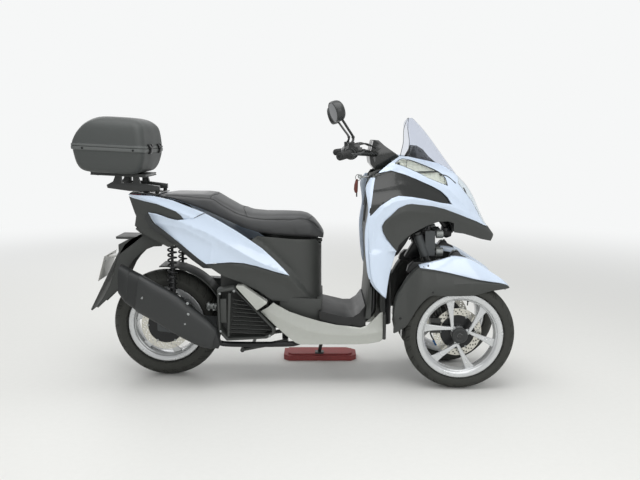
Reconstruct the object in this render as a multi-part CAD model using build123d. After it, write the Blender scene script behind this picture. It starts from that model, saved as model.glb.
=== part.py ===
"""Three-wheel leaning motor scooter with a top box, its side stand resting on a low steel block.

Frame: +X forwards, +Y to the rider's left, +Z up, millimetres, ground at z = 0.
The origin lies on the ground under the middle of the whole outline.
"""

from build123d import *
from math import cos, hypot, radians, sin, tan
import os

# ---- Wheels and overall stance -------------------------------------------------------------
WHEELBASE = 1350.0
TRACK = 385.0
FRONT_AXLE_X = 750.0
FRONT_TYRE_R = 249.8
FRONT_TYRE_W = 90.0
FRONT_BEAD_R = 177.8
REAR_TYRE_R = 256.1
REAR_TYRE_W = 130.0
REAR_BEAD_R = 165.1
REAR_AXLE_X = FRONT_AXLE_X - WHEELBASE
AXLE_R = 10.0
RIM_WALL = 14.0
FRONT_HUB_R = 34.0
REAR_HUB_R = 48.0
FRONT_DISC_R = 110.0
REAR_DISC_R = 115.0
DISC_BAND = 32.0
DISC_T = 4.0

# ---- Fits and clearances -------------------------------------------------------------------
RUN = 0.05          # radial clearance of a shaft in its own bore
SEAT = 0.3          # gap between pieces that rest against each other
CLEAR = 6.0         # least gap beside a moving piece
WALL = 4.0          # moulded body panel
SHEET = 3.0         # thin moulded trim

# ---- Steering and leaning front --------------------------------------------------------------
CASTER = 20.0
TRAIL = 68.0
ARM_HALF = 116.0          # half the span of a leaning arm, which is also where each fork turns
ARM_X = (650.0, 680.0)    # front and back faces of both arms
UPPER_ARM_Z = 695.0
LOWER_ARM_Z = 612.0
ARM_EYE_R = 19.0
ARM_WEB = 22.0
FRAME_PIN_R = 12.0
LINK_PIN_R = 8.0
STEM_R = 15.0
HEAD_TUBE_R = 25.0
HEAD_TUBE_Z = (580.0, 880.0)
SLEEVE_R = 21.0
SLEEVE_Z = (596.0, 690.0)
LINK_HALF = 13.0
CRANK = 60.0              # length of the steering crank and of both knuckle levers
CRANK_Z = 530.0
CRANK_T = 12.0
BALL_DROP = 31.0          # track rod below the crank
TRACK_ROD_R = 5.0
BALL_R = 11.0
STUD_R = 4.0
FORK_TUBE_R = 15.0
FORK_SPREAD = 27.0        # each fork tube before and behind the turning axis
FORK_CROWN_Z = 540.0
CROWN_HALF = 18.0
CROWN_T = 22.0
SWIVEL_R = 5.0
SWIVEL_PIN_R = 3.5
YOKE_IN = (10.0, 15.0)    # half the inside of the track rod's yoke, along and across
YOKE_OUT = (14.0, 20.0)
YOKE_H = 12.0

# ---- Handlebar -----------------------------------------------------------------------------
BAR_HALF = 375.0
BAR_R = 11.0
BAR_BORE_R = 7.0
BAR_BORE_DEPTH = 40.0
GRIP_R = 17.0
GRIP_L = 118.0
BAR_MID = (398.0, 1052.0)
COVER_HALF = 115.0
GRIP_IN = (268.0, 1063.0)
BAR_KNEE_Y = 222.0
BAR_MID_Y = 80.0
GRIP_OUT = (203.0, 1051.0)
MIRROR_HEAD = (-7.0, -63.0, 187.0)      # from the bar's end
MIRROR_BEND = (63.0, -146.0, 79.0)
MIRROR_NECK = (9.0, -72.0, 161.0)
MIRROR_STEM_R = 6.0

# ---- Body widths (half widths) ---------------------------------------------------------------
SHIELD_HALF = 235.0
SKIRT_HALF = 190.0
SKIRT_FRONT_X = 408.0
SEAT_HALF = 146.0
FLOOR_HALF = 180.0
BOX_HALF = 203.0
FENDER_OUT = 253.0
FENDER_IN = 141.0
FLAP_OUT = 228.0
FLAP_FRONT_X = 512.0
FENDER_NOTCH = (700.0, 172.0)     # the inner part behind this X is cut away, out to this Y

# ---- Machinery -------------------------------------------------------------------------------
FRAME_TUBE_R = 14.0
SEAT_TUBE_Y = 118.0
FLOOR_TUBE_Y = 112.0
FLOOR_TUBE_Z = 268.0
RAIL_END_X = -690.0
RAIL_END_Y = 84.0
RAIL_END_Z = 790.0
POST_FOOT_Z = 772.0
LAMP_FRONT_X = -700.0
SHIELD_JOIN_Z = 630.0
SHIELD_EDGE = 9.0           # inner shield inside the cowl at its edge
SHIELD_TOP = [(174.0, 960.0), (168.0, 985.0)]
SHIELD_BACK_X = 344.05
COVER_BACK_X = 397.6
ENGINE_HALF = REAR_TYRE_W / 2 + 19
ENGINE_FRONT_X = 40.0
SHOCK_Y = 122.0
SHOCK_R = 22.0
SHOCK_PIN_R = 9.0
SHOCK_PIN_Y = 145.6
SHOCK_TOP = (-548.0, 690.0)
SHOCK_LOW = (-552.0, 322.0)
REAR_ARM_Y = (-REAR_TYRE_W / 2 - 31, -REAR_TYRE_W / 2 - 21)
CASE_Y = (REAR_TYRE_W / 2 + 23, 166.0)
SILENCER_Y = (158.0, 244.0)
RADIATOR_Y = (130.0, 196.0)
LOUVRE_PITCH = 36.0
AIR_BOX_Y = 110.0
SIDE_STAND_PIVOT = (144.0, 150.0, 172.0)
CENTRE_STAND_PIVOT = (-40.0, 186.0)

# ---- Heights ---------------------------------------------------------------------------------
FLOOR_Z = 317.0
BLOCK_H = 34.0
SEAT_HINGE = (130.0, 652.0)
SEAT_PIN_R = 4.0
DECK_Z = 978.0
DECK_BACK_X = 498.0
BOX_TILT = 3.0
BOX_HINGE = (-640.0, 1078.0)
BOX_BULGE = 42.0            # bow of the box's rear face
BOX_CORNER = 40.0
# Height, then how far the box draws in at its rear, its front and each side.
BASE_LEVELS = [(-115, 72, 60, 46), (-104, 40, 32, 30), (-72, 20, 14, 16), (-34, 10, 4, 8), (0, 0, 0, 0)]
LID_LEVELS = [(SEAT, 0, 0, 0), (20, 2, 3.5, 3), (55, 20, 9, 8), (91, 48, 17, 16), (112, 76, 34, 30),
              (127, 104, 58, 56), (134, 130, 84, 86)]
BOX_PLATE = (-262.0, -16.0)
BOX_REAR_X = -(FRONT_AXLE_X + FRONT_TYRE_R)
BOX_LENGTH = (BOX_HINGE[0] - BOX_REAR_X) / cos(radians(BOX_TILT))
BOX_KNUCKLE = (5.0, 7.0)
POCKET = ((346.0, 60.0, 720.0), (440.0, 180.0, 840.0))
BIN_HALF = SEAT_TUBE_Y - FRAME_TUBE_R - SEAT - SHEET
BIN = ((-330.0, -BIN_HALF, 440.0), (80.0, BIN_HALF, 640.0))


def axis_point(z, y=0.0):
    """Point of the steering axis at height z; the forks' own axes run parallel at y."""
    return Vector(FRONT_AXLE_X + TRAIL - z * tan(radians(CASTER)), y, z)


ALONG = Vector(-sin(radians(CASTER)), 0, cos(radians(CASTER)))   # up the steering axis
AHEAD = Vector(cos(radians(CASTER)), 0, sin(radians(CASTER)))    # square to it, forwards


# ---- Shape helpers -----------------------------------------------------------------------------
def closed(points, radius=0.0):
    """Closed outline of straight runs with every corner rounded by radius."""
    if radius:
        return FilletPolyline(*points, radius=radius, close=True)
    return Polyline(*points, close=True)


def across(outline, y_low, y_high, radius=0.0):
    """Solid of a side outline of (x, z) points between two distances across the scooter."""
    face = make_face(Plane.XZ * closed(outline, radius))
    return Pos(0, y_high, 0) * extrude(face, amount=y_high - y_low, dir=(0, -1, 0))


def upright(outline, z_low, z_high, radius=0.0):
    """Solid of a plan outline of (x, y) points between two heights."""
    face = make_face(closed(outline, radius))
    return Pos(0, 0, z_low) * extrude(face, amount=z_high - z_low, dir=(0, 0, 1))


def block(low, high):
    """Box between two opposite corners."""
    size = [b - a for a, b in zip(low, high)]
    middle = [(a + b) / 2 for a, b in zip(low, high)]
    return Pos(*middle) * Box(*size)


def rod(start, end, radius):
    """Round bar between the centres of its two ends."""
    start, end = Vector(*start), Vector(*end)
    along = end - start
    return extrude(Plane(origin=start, z_dir=along) * Circle(radius), amount=along.length)


def bent(points, radius, bend):
    """Round bar along straight runs joined by arcs of radius bend."""
    path = FilletPolyline(*points, radius=bend)
    start = Vector(*points[0])
    section = Plane(origin=start, z_dir=Vector(*points[1]) - start) * Circle(radius)
    return sweep(section, path=path)


def inset(points, distance):
    """Open curve's points moved square to it, to the right of its direction."""
    moved = []
    last = len(points) - 1
    for i, (x, y) in enumerate(points):
        before, after = points[max(i - 1, 0)], points[min(i + 1, last)]
        dx, dy = after[0] - before[0], after[1] - before[1]
        length = hypot(dx, dy)
        moved.append((x + dy / length * distance, y - dx / length * distance))
    return moved


def wall(plan, thickness, z_low, z_high):
    """Upright sheet whose outer face follows a plan curve and whose wall lies to its right."""
    outer = Spline(*plan)
    inner = Spline(*inset(plan, thickness))
    ends = Line(outer @ 0, inner @ 0) + Line(outer @ 1, inner @ 1)
    face = make_face(outer + inner + ends)
    return Pos(0, 0, z_low) * extrude(face, amount=z_high - z_low, dir=(0, 0, 1))


def other_side(shape):
    """The same shape on the scooter's other side."""
    return mirror(shape, about=Plane.XZ)


def pair(shape):
    """A piece on one side together with its mirror image."""
    return [shape, other_side(shape)]


def mirror_block(low, high, side):
    """Box given on the left side, moved to either side."""
    y_low, y_high = sorted((low[1] * side, high[1] * side))
    return block((low[0], y_low, low[2]), (high[0], y_high, high[2]))


def bore(start, end, radius):
    """Cutter for a round hole between two points."""
    return rod(start, end, radius)


# ---- Wheels --------------------------------------------------------------------------------------
def ring(x, y_low, y_high, z, outer_r, inner_r):
    """Flat ring round a wheel axis."""
    disc = rod((x, y_low, z), (x, y_high, z), outer_r)
    return disc - rod((x, y_low - 1, z), (x, y_high + 1, z), inner_r)


def tyre(x, y, radius, width, bead_r):
    """Tyre with a round crown, bulging walls and open beads."""
    half, bead = width / 2, width * 0.33
    shoulder = radius - width * 0.30
    left = Spline((bead, bead_r), (half, (bead_r + shoulder) / 2), (half * 0.86, shoulder),
                  (0, radius), tangents=[(1, 0.4), (-1, 0)])
    right = Spline((-bead, bead_r), (-half, (bead_r + shoulder) / 2), (-half * 0.86, shoulder),
                   (0, radius), tangents=[(-1, 0.4), (1, 0)])
    base = Line((-bead, bead_r), (bead, bead_r))
    face = make_face(Plane.YZ * (left + right + base))
    return Pos(x, y, radius) * revolve(face, axis=Axis.Y)


def spoke(inner_r, outer_r, inner_w, outer_w, angle, y_low, y_high):
    """Tapering flat spoke round the origin, at an angle from the front."""
    shape = across([(inner_r, -inner_w / 2), (outer_r, -outer_w / 2),
                    (outer_r, outer_w / 2), (inner_r, inner_w / 2)], y_low, y_high)
    return Rot(0, -angle, 0) * shape


def cast_rim(x, y, z, bead_r, width, hub_r, hub_half, spokes):
    """Rim barrel, hub and spokes as one casting, bored for its axle."""
    outer = bead_r - SEAT
    shape = ring(0, -width / 2, width / 2, 0, outer, outer - RIM_WALL)
    shape += rod((0, -hub_half, 0), (0, hub_half, 0), hub_r)
    for angle in spokes:
        shape += spoke(hub_r - 8, outer - 4, 24, 34, angle, -14, 14)
    shape -= bore((0, -hub_half - 1, 0), (0, hub_half + 1, 0), AXLE_R + RUN)
    return Pos(x, y, z) * shape


def brake_disc(x, y, z, radius, hub_r, bolts=5):
    """Brake disc with five carrier arms on the hub's end."""
    shape = ring(0, 0, DISC_T, 0, radius, radius - DISC_BAND)
    shape += ring(0, 0, DISC_T, 0, hub_r, AXLE_R + 4)
    for i in range(bolts):
        shape += spoke(hub_r - 4, radius - DISC_BAND + 3, 16, 22, 360 / bolts * i, 0, DISC_T)
    return Pos(x, y, z) * shape


FRONT_HUB_HALF = 32.0
REAR_HUB_HALF = REAR_TYRE_W / 2 - 3
FRONT_DISC_IN = TRACK / 2 - FRONT_HUB_HALF - DISC_T - SEAT    # inner face of the front disc
V_SPOKES = [centre + side for centre in (17, 137, 257) for side in (-31, 31)]


def front_wheel_parts():
    """Left front tyre, rim and disc; the right ones are their mirror image."""
    y = TRACK / 2
    tyre_left = tyre(FRONT_AXLE_X, y, FRONT_TYRE_R, FRONT_TYRE_W, FRONT_BEAD_R)
    rim = cast_rim(FRONT_AXLE_X, y, FRONT_TYRE_R, FRONT_BEAD_R, FRONT_TYRE_W * 0.66,
                   FRONT_HUB_R, FRONT_HUB_HALF, V_SPOKES)
    disc = brake_disc(FRONT_AXLE_X, FRONT_DISC_IN, FRONT_TYRE_R, FRONT_DISC_R, FRONT_HUB_R)
    return tyre_left, rim, disc


REAR_DISC_Y = -REAR_HUB_HALF - SEAT - DISC_T


def rear_wheel_parts():
    """Rear tyre, rim and disc."""
    tyre_rear = tyre(REAR_AXLE_X, 0, REAR_TYRE_R, REAR_TYRE_W, REAR_BEAD_R)
    rim = cast_rim(REAR_AXLE_X, 0, REAR_TYRE_R, REAR_BEAD_R, REAR_TYRE_W * 0.66,
                   REAR_HUB_R, REAR_HUB_HALF, V_SPOKES)
    disc = brake_disc(REAR_AXLE_X, REAR_DISC_Y, REAR_TYRE_R, REAR_DISC_R, REAR_HUB_R)
    return tyre_rear, rim, disc


# ---- Leaning front end ---------------------------------------------------------------------------
def leaning_arm(z):
    """Cross arm with an eye at its middle and at each end."""
    x0, x1 = ARM_X
    shape = block((x0, -ARM_HALF, z - ARM_WEB / 2), (x1, ARM_HALF, z + ARM_WEB / 2))
    for y in (-ARM_HALF, 0, ARM_HALF):
        shape += rod((x0, y, z), (x1, y, z), ARM_EYE_R)
    for y in (-ARM_HALF, ARM_HALF):
        shape -= bore((x0 - 1, y, z), (x1 + 1, y, z), LINK_PIN_R + RUN)
    return shape - bore((x0 - 1, 0, z), (x1 + 1, 0, z), FRAME_PIN_R + RUN)


def side_link():
    """Left upright: bearing sleeve of the fork with a lug and two pins for the arms."""
    low, high = axis_point(SLEEVE_Z[0], ARM_HALF), axis_point(SLEEVE_Z[1], ARM_HALF)
    lug_front = ARM_X[0] - CLEAR
    z_low, z_high = LOWER_ARM_Z - 15, UPPER_ARM_Z + 15
    lug = across([(low.X, z_low), (lug_front, z_low), (lug_front, z_high), (high.X + 32, z_high)],
                 ARM_HALF - LINK_HALF, ARM_HALF + LINK_HALF)
    shape = rod(low, high, SLEEVE_R) + lug
    for z in (LOWER_ARM_Z, UPPER_ARM_Z):
        shape += rod((lug_front - 10, ARM_HALF, z), (ARM_X[1] + 4, ARM_HALF, z), LINK_PIN_R)
    return shape - bore(low - ALONG * 60, high + ALONG * 60, STEM_R + RUN)


def axle_plate():
    """Plate at the foot of the left fork that holds both tubes and the wheel's stub axle."""
    foot = axis_point(FRONT_TYRE_R, ARM_HALF)
    half = FORK_SPREAD + FORK_TUBE_R + 2
    corners = [foot + AHEAD * side * half + ALONG * up for side, up in
               ((-1, -30), (1, -30), (1, 46), (-1, 46))]
    return across([(c.X, c.Z) for c in corners], ARM_HALF - 20, ARM_HALF + 20, radius=12)


def fork():
    """Left fork: stem, crown, two tubes one behind the other, stub axle, lever and caliper."""
    stem_low, stem_top = axis_point(FORK_CROWN_Z, ARM_HALF), axis_point(SLEEVE_Z[1], ARM_HALF)
    shape = rod(stem_low, stem_top + ALONG * 14, STEM_R)
    shape += rod(stem_top + ALONG * CLEAR, stem_top + ALONG * 14, SLEEVE_R)
    crown_mid = axis_point(FORK_CROWN_Z, ARM_HALF)
    half = FORK_SPREAD + FORK_TUBE_R + 2
    corners = [crown_mid + AHEAD * side * half + ALONG * up for side, up in
               ((-1, -CROWN_T / 2), (1, -CROWN_T / 2), (1, CROWN_T / 2), (-1, CROWN_T / 2))]
    shape += across([(c.X, c.Z) for c in corners], ARM_HALF - CROWN_HALF, ARM_HALF + CROWN_HALF, radius=6)
    for side in (-1, 1):
        top = crown_mid + AHEAD * side * FORK_SPREAD
        foot = axis_point(FRONT_TYRE_R, ARM_HALF) + AHEAD * side * FORK_SPREAD
        shape += rod(foot, top, FORK_TUBE_R)
    shape += axle_plate()
    shape += rod((FRONT_AXLE_X, ARM_HALF, FRONT_TYRE_R),
                 (FRONT_AXLE_X, TRACK / 2 + FRONT_HUB_HALF + 8, FRONT_TYRE_R), AXLE_R)
    return shape + knuckle_lever() + front_caliper()


def knuckle_lever():
    """Lever ahead of the left fork, the same length as the steering crank, with its ball seat."""
    root = axis_point(CRANK_Z, ARM_HALF)
    eye = root + AHEAD * CRANK
    ends = [root + ALONG * CRANK_T / 2, eye + AHEAD * 9 + ALONG * CRANK_T / 2,
            eye + AHEAD * 9 - ALONG * CRANK_T / 2, root - ALONG * CRANK_T / 2]
    lever = across([(p.X, p.Z) for p in ends], ARM_HALF - 9, ARM_HALF + 9)
    return lever + rod(eye, eye - ALONG * (BALL_DROP - BALL_R - SEAT), STUD_R)


def front_caliper():
    """Brake caliper behind the left fork, its two halves either side of the disc."""
    gap_low, gap_high = FRONT_DISC_IN - 2, FRONT_DISC_IN + DISC_T + 2
    x0, x1 = FRONT_AXLE_X - FRONT_DISC_R - 14, FRONT_AXLE_X - FRONT_DISC_R + DISC_BAND
    z0, z1 = FRONT_TYRE_R - 2, FRONT_TYRE_R + 66
    shape = block((x0, ARM_HALF + 8, z0), (x1, gap_high + 9, z1))
    shape -= block((x0 + 10, gap_low, z0 - 1), (x1 + 1, gap_high, z1 + 1))
    reach = FRONT_AXLE_X - FORK_SPREAD - FORK_TUBE_R
    bracket = block((x0 + 6, ARM_HALF - 12, z0 + 4), (reach, ARM_HALF + 12, z1 - 24))
    return shape + bracket


def track_rod_centre():
    """Middle of the track rod, below the eye of the steering crank."""
    return axis_point(CRANK_Z) + AHEAD * CRANK - ALONG * BALL_DROP


def rod_swivel():
    """Centre stud of the crank: a turning post with a cross pin for the track rod."""
    eye = axis_point(CRANK_Z) + AHEAD * CRANK
    centre = track_rod_centre()
    shape = rod(centre, eye + ALONG * (CRANK_T / 2 + 2), SWIVEL_R)
    reach = Vector(YOKE_OUT[0] + 1, 0, 0)
    return shape + rod(centre - reach, centre + reach, SWIVEL_PIN_R)


def track_rod():
    """One long rod that turns both forks, carried at its middle, with a ball at each end."""
    centre = track_rod_centre()
    shape = Pos(*centre) * Box(2 * YOKE_OUT[0], 2 * YOKE_OUT[1], YOKE_H)
    shape -= Pos(*centre) * Box(2 * YOKE_IN[0], 2 * YOKE_IN[1], YOKE_H)
    reach = Vector(2 * YOKE_OUT[0], 0, 0)
    shape -= bore(centre - reach, centre + reach, SWIVEL_PIN_R + RUN)
    for side in (-1, 1):
        end = centre + Vector(0, ARM_HALF * side, 0)
        shape += rod(centre + Vector(0, (YOKE_IN[1] + 1) * side, 0), end, TRACK_ROD_R)
        shape += Pos(*end) * Sphere(BALL_R)
    return shape


# ---- Handlebar and what turns with it --------------------------------------------------------------
BAR_PATH = [(GRIP_OUT[0], BAR_HALF - 3, GRIP_OUT[1]), (GRIP_IN[0], BAR_KNEE_Y, GRIP_IN[1]),
            (BAR_MID[0], BAR_MID_Y, BAR_MID[1])]


def bar_end(side=1):
    """Outer end of the bar and the direction in which it runs outwards."""
    tip, knee = Vector(*BAR_PATH[0]), Vector(*BAR_PATH[1])
    out = (tip - knee).normalized()
    return Vector(tip.X, tip.Y * side, tip.Z), Vector(out.X, out.Y * side, out.Z)


def handlebar():
    """Bent bar, its clamp, the steering stem and the crank at the stem's foot."""
    right = [(x, -y, z) for x, y, z in reversed(BAR_PATH)]
    shape = bent(BAR_PATH + right, BAR_R, 45)
    for side in (-1, 1):
        tip, out = bar_end(side)
        shape -= bore(tip + out, tip - out * BAR_BORE_DEPTH, BAR_BORE_R)
    stem_top = axis_point(BAR_MID[1] - 16)
    shape += rod(axis_point(CRANK_Z) - ALONG * CRANK_T / 2, stem_top, STEM_R)
    shape += block((BAR_MID[0] - 14, -24, BAR_MID[1] - 20), (stem_top.X - 6, 24, BAR_MID[1] + 6))
    root, eye = axis_point(CRANK_Z), axis_point(CRANK_Z) + AHEAD * CRANK
    ends = [root - AHEAD * 22 + ALONG * CRANK_T / 2, eye + AHEAD * 12 + ALONG * CRANK_T / 2,
            eye + AHEAD * 12 - ALONG * CRANK_T / 2, root - AHEAD * 22 - ALONG * CRANK_T / 2]
    shape += across([(p.X, p.Z) for p in ends], -13, 13)
    return shape - bore(eye - ALONG * 20, eye + ALONG * 20, SWIVEL_R + RUN)


def handlebar_cover():
    """Hollow moulded cover round the middle of the bar."""
    outline = [(362, 1118), (384, 1116), (414, 1090), (478, 1046), (442, 1014), (408, 990),
               (370, 984), (350, 1010), (344, 1046)]
    inner = [(367, 1113), (383, 1111), (411, 1086), (470, 1046), (439, 1018), (406, 995),
             (373, 989), (355, 1012), (349, 1046)]
    shape = across(outline, -COVER_HALF, COVER_HALF, radius=6)
    shape -= across(inner, -COVER_HALF + WALL, COVER_HALF - WALL, radius=4)
    shape -= bore(axis_point(900), axis_point(1042), STEM_R + 12)
    knee, mid = Vector(*BAR_PATH[1]), Vector(*BAR_PATH[2])
    for side in (-1, 1):
        a, b = Vector(knee.X, knee.Y * side, knee.Z), Vector(mid.X, mid.Y * side, mid.Z)
        shape -= bore(a, b + (b - a) * 0.1, BAR_R + SEAT)
    return shape


def grips():
    """Rubber grip on each end of the bar."""
    tip, out = bar_end()
    grip = rod(tip - out * GRIP_L, tip - out * 3, GRIP_R)
    return pair(grip - bore(tip - out * (GRIP_L + 1), tip, BAR_R + SEAT))


def levers():
    """Brake lever, its perch and the switch housing on each side."""
    tip, out = bar_end()
    inner = tip - out * (GRIP_L + 38)
    perch = rod(inner, tip - out * (GRIP_L + 1), GRIP_R + 7)
    perch += rod(inner + out * 8, inner + out * 30 + Vector(52, 20, 12), 9)
    knuckle = inner + out * 30 + Vector(52, 20, 12)
    perch += rod(knuckle - out * 4, tip + Vector(56, -14, 8), 5)
    perch += Pos(*(tip + Vector(56, -14, 8))) * Sphere(8)
    return pair(perch - bore(tip - out * (GRIP_L + 60), tip, BAR_R + SEAT))


def mirrors():
    """Mirror head on a bent stem, one on each side, screwed into the lever perch."""
    tip, out = bar_end()
    foot = tip - out * (GRIP_L + 20) + Vector(0, 0, GRIP_R + 7 + SEAT + 3.4)
    head, bend, neck = (tip + Vector(*offset) for offset in (MIRROR_HEAD, MIRROR_BEND, MIRROR_NECK))
    stem = rod(foot, bend, MIRROR_STEM_R + 1) + rod(bend, neck, MIRROR_STEM_R)
    stem += Pos(*bend) * Sphere(MIRROR_STEM_R + 2)
    plane = Plane(origin=head, x_dir=(0.25, 1, 0), z_dir=Vector(1, -0.25, 0.3))
    shell = extrude(plane * Ellipse(62, 43), amount=24, both=True)
    shell = fillet(shell.edges(), 14)
    return pair(stem + shell)


def front_fender():
    """Left fender: a hollow dome over the wheel with a flap behind, open inwards and below."""
    outer = [(562, 567), (654, 589), (716, 610), (765, 603), (813, 584), (872, 545), (917, 517),
             (965, 474), (960, 460), (916, 463), (865, 458), (818, 442), (746, 434), (603, 436),
             (565, 397), (537, 348), (519, 304), (491, 279), (452, 259), (446, 343), (460, 422),
             (487, 471), (515, 519)]
    body = whole = across(outer, FENDER_IN, FENDER_OUT)
    hollow = [(566, 560), (656, 584), (717, 605), (764, 598), (810, 579), (868, 541), (913, 513),
              (962, 470), (940, 300), (603, 200), (440, 200), (450, 262), (451, 340), (465, 420),
              (492, 469), (520, 516)]
    body -= across(hollow, FENDER_IN - 10, FENDER_OUT - WALL)
    body -= block((540, FENDER_IN - 1, 500), (FENDER_NOTCH[0], FENDER_NOTCH[1], 640))
    body -= block((430, FLAP_OUT, 240), (FLAP_FRONT_X, FENDER_OUT + 1, 540))
    body += block((FLAP_FRONT_X - WALL, FLAP_OUT - WALL, 300), (FLAP_FRONT_X + 1, FENDER_OUT, 530)) & whole
    body -= rod((FRONT_AXLE_X, FENDER_IN - 20, FRONT_TYRE_R), (FRONT_AXLE_X, FENDER_OUT - WALL, FRONT_TYRE_R),
                FRONT_TYRE_R + 8)
    crown = axis_point(FORK_CROWN_Z).X
    low, top = FORK_CROWN_Z - 8, FORK_CROWN_Z + 6
    stay = block((crown - 24, ARM_HALF + CROWN_HALF + SEAT, low), (crown + 6, FENDER_NOTCH[1] + 4, top))
    stay += block((crown - 24, FENDER_NOTCH[1] - 2, low), (crown + 6, FENDER_NOTCH[1] + 4, 576))
    return body + stay


# ---- Frame and machinery -----------------------------------------------------------------------------
def frame():
    """Head tube with the arms' pivot pins, down tubes, floor tubes, seat rails and brackets."""
    low, high = axis_point(HEAD_TUBE_Z[0]), axis_point(HEAD_TUBE_Z[1])
    shape = rod(low, high, HEAD_TUBE_R)
    for z in (LOWER_ARM_Z, UPPER_ARM_Z):
        shape += rod(axis_point(z), (ARM_X[0] - CLEAR, 0, z), FRAME_PIN_R + 8)
        shape += rod(axis_point(z), (ARM_X[1] + 6, 0, z), FRAME_PIN_R)
    for side in (-1, 1):
        top = axis_point(700)
        down = [(top.X, 18 * side, 700), (376, 80 * side, 600), (368, 100 * side, 330),
                (300, FLOOR_TUBE_Y * side, FLOOR_TUBE_Z), (-90, FLOOR_TUBE_Y * side, FLOOR_TUBE_Z),
                (-150, SEAT_TUBE_Y * side, 430), (-360, SEAT_TUBE_Y * side, 585),
                (RAIL_END_X, RAIL_END_Y * side, RAIL_END_Z)]
        shape += bent(down, FRAME_TUBE_R, 40)
        shape += rod((-60, 0, FLOOR_TUBE_Z), (-60, FLOOR_TUBE_Y * side, FLOOR_TUBE_Z), FRAME_TUBE_R - 3)
        end = (RAIL_END_X + 10, RAIL_END_Y * side, RAIL_END_Z - 3)
        shape += rod((end[0], 0, end[2]), end, 9)
        shape += mirror_block((SHIELD_BACK_X, 60, 440), (COVER_BACK_X, 96, 458), side)
        shape += mirror_block((-130, ENGINE_HALF + SEAT, 252), (-92, FLOOR_TUBE_Y, 280), side)
        shape += mirror_block((-630, RAIL_END_Y - 12, 738), (-602, RAIL_END_Y + 12, POST_FOOT_Z), side)
        x, z = SHOCK_TOP
        shape += rod((x, 88 * side, z), (x, SHOCK_PIN_Y * side, z), SHOCK_PIN_R)
        shape += mirror_block((240, FLOOR_TUBE_Y - 12, FLOOR_TUBE_Z), (268, FLOOR_TUBE_Y + 12, FLOOR_Z - SEAT),
                              side)
    shape += side_stand_lug() + centre_stand_lugs()
    shape += block((LAMP_FRONT_X + SEAT, -20, RAIL_END_Z - 8), (RAIL_END_X + 14, 20, 846))
    return shape - bore(low - ALONG * 30, high + ALONG * 30, STEM_R + RUN)


def side_stand_lug():
    """Bracket on the left floor tube that carries the side stand's bolt."""
    x, y, z = SIDE_STAND_PIVOT
    lug = block((x - 18, 112, z - 14), (x + 18, y - 8 - SEAT, z + 14))
    lug += block((x - 14, 104, z), (x + 14, 124, 262))
    return lug + rod((x, y - 10, z), (x, y + 8, z), 7)


def centre_stand_lugs():
    """Two lugs under the frame with the cross shaft of the centre stand."""
    x, z = CENTRE_STAND_PIVOT
    shape = rod((x, -104, z), (x, 104, z), 8)
    for side in (-1, 1):
        y_low, y_high = sorted((66 * side, 78 * side))
        shape += block((x - 14, y_low, z - 12), (x + 14, y_high, 262))
        y_low, y_high = sorted((66 * side, 116 * side))
        shape += block((x - 14, y_low, 250), (x + 14, y_high, 262))
    return shape


def engine():
    """Plain block at the place of the crankcase, with the cylinder ahead of it."""
    case = across([(-332, 236), (-300, 215), (-150, 215), (-110, 240), (-110, 330), (-180, 425),
                   (-322, 425), (-332, 360)], -ENGINE_HALF, ENGINE_HALF, radius=10)
    return case + block((-112, -58, 296), (ENGINE_FRONT_X, 58, 380))


def drive_case():
    """Belt case on the left that carries the rear axle, with the air box on top."""
    outline = [(-130, 260), (-170, 222), (-560, 200), (REAR_AXLE_X - 52, 226), (-668, 262),
               (REAR_AXLE_X - 40, 312), (-520, 330), (-300, 372), (-160, 360)]
    case = across(outline, *CASE_Y, radius=16)
    case += across([(-500, 345), (-470, 330), (-300, 350), (-190, 372), (-200, 436), (-470, 450)],
                   AIR_BOX_Y, 160, radius=12)
    case += rod((REAR_AXLE_X, REAR_ARM_Y[0] - 10, REAR_TYRE_R), (REAR_AXLE_X, 100, REAR_TYRE_R), AXLE_R)
    case += block((-320, ENGINE_HALF + SEAT, 236), (-200, CASE_Y[0] + 4, 340))
    return case + rod((SHOCK_LOW[0], 104, SHOCK_LOW[1]), (SHOCK_LOW[0], 146, SHOCK_LOW[1]), 14)


def rear_arm():
    """Plate from the crankcase to the rear axle on the right, with the caliper beside the disc."""
    y_low, y_high = REAR_ARM_Y
    outline = [(REAR_AXLE_X - 34, 236), (-560, 226), (-300, 236), (-290, 300), (-420, 310),
               (-520, 350), (-566, 340), (REAR_AXLE_X - 34, 280)]
    arm = across(outline, y_low, y_high, radius=8)
    arm += rod((SHOCK_LOW[0], -SHOCK_Y - 14, SHOCK_LOW[1]), (SHOCK_LOW[0], y_high, SHOCK_LOW[1]), 14)
    arm += block((-330, y_high - 2, 244), (-294, -ENGINE_HALF - SEAT, 292))
    caliper = block((-562, y_low, 318), (-506, REAR_DISC_Y + DISC_T + 14, 376))
    caliper -= block((-563, REAR_DISC_Y - 2, 317), (-500, REAR_DISC_Y + DISC_T + 2, 366))
    arm += caliper
    return arm - bore((REAR_AXLE_X, y_low - 1, REAR_TYRE_R), (REAR_AXLE_X, y_high + 1, REAR_TYRE_R), AXLE_R + RUN)


def radiator_cover():
    """Louvred cover on the engine's right side."""
    outline = [(-340, 452), (-264, 466), (-80, 272), (-80, 248), (-118, 226), (-300, 216), (-340, 262)]
    shape = across(outline, -RADIATOR_Y[1], -RADIATOR_Y[0], radius=14)
    shape += rod((-250, -RADIATOR_Y[0] - 2, 320), (-250, -ENGINE_HALF - SEAT, 320), 46)
    field = across([(-322, 436), (-266, 446), (-98, 270), (-102, 244), (-290, 234), (-322, 268)],
                   -RADIATOR_Y[1] - 1, -RADIATOR_Y[1] + 10)
    for i in range(6):
        x = -330 + LOUVRE_PITCH * i
        slot = across([(x, 220), (x + 12, 220), (x + 102, 470), (x + 90, 470)],
                      -RADIATOR_Y[1] - 1, -RADIATOR_Y[1] + 10)
        shape -= slot & field
    return shape


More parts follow.
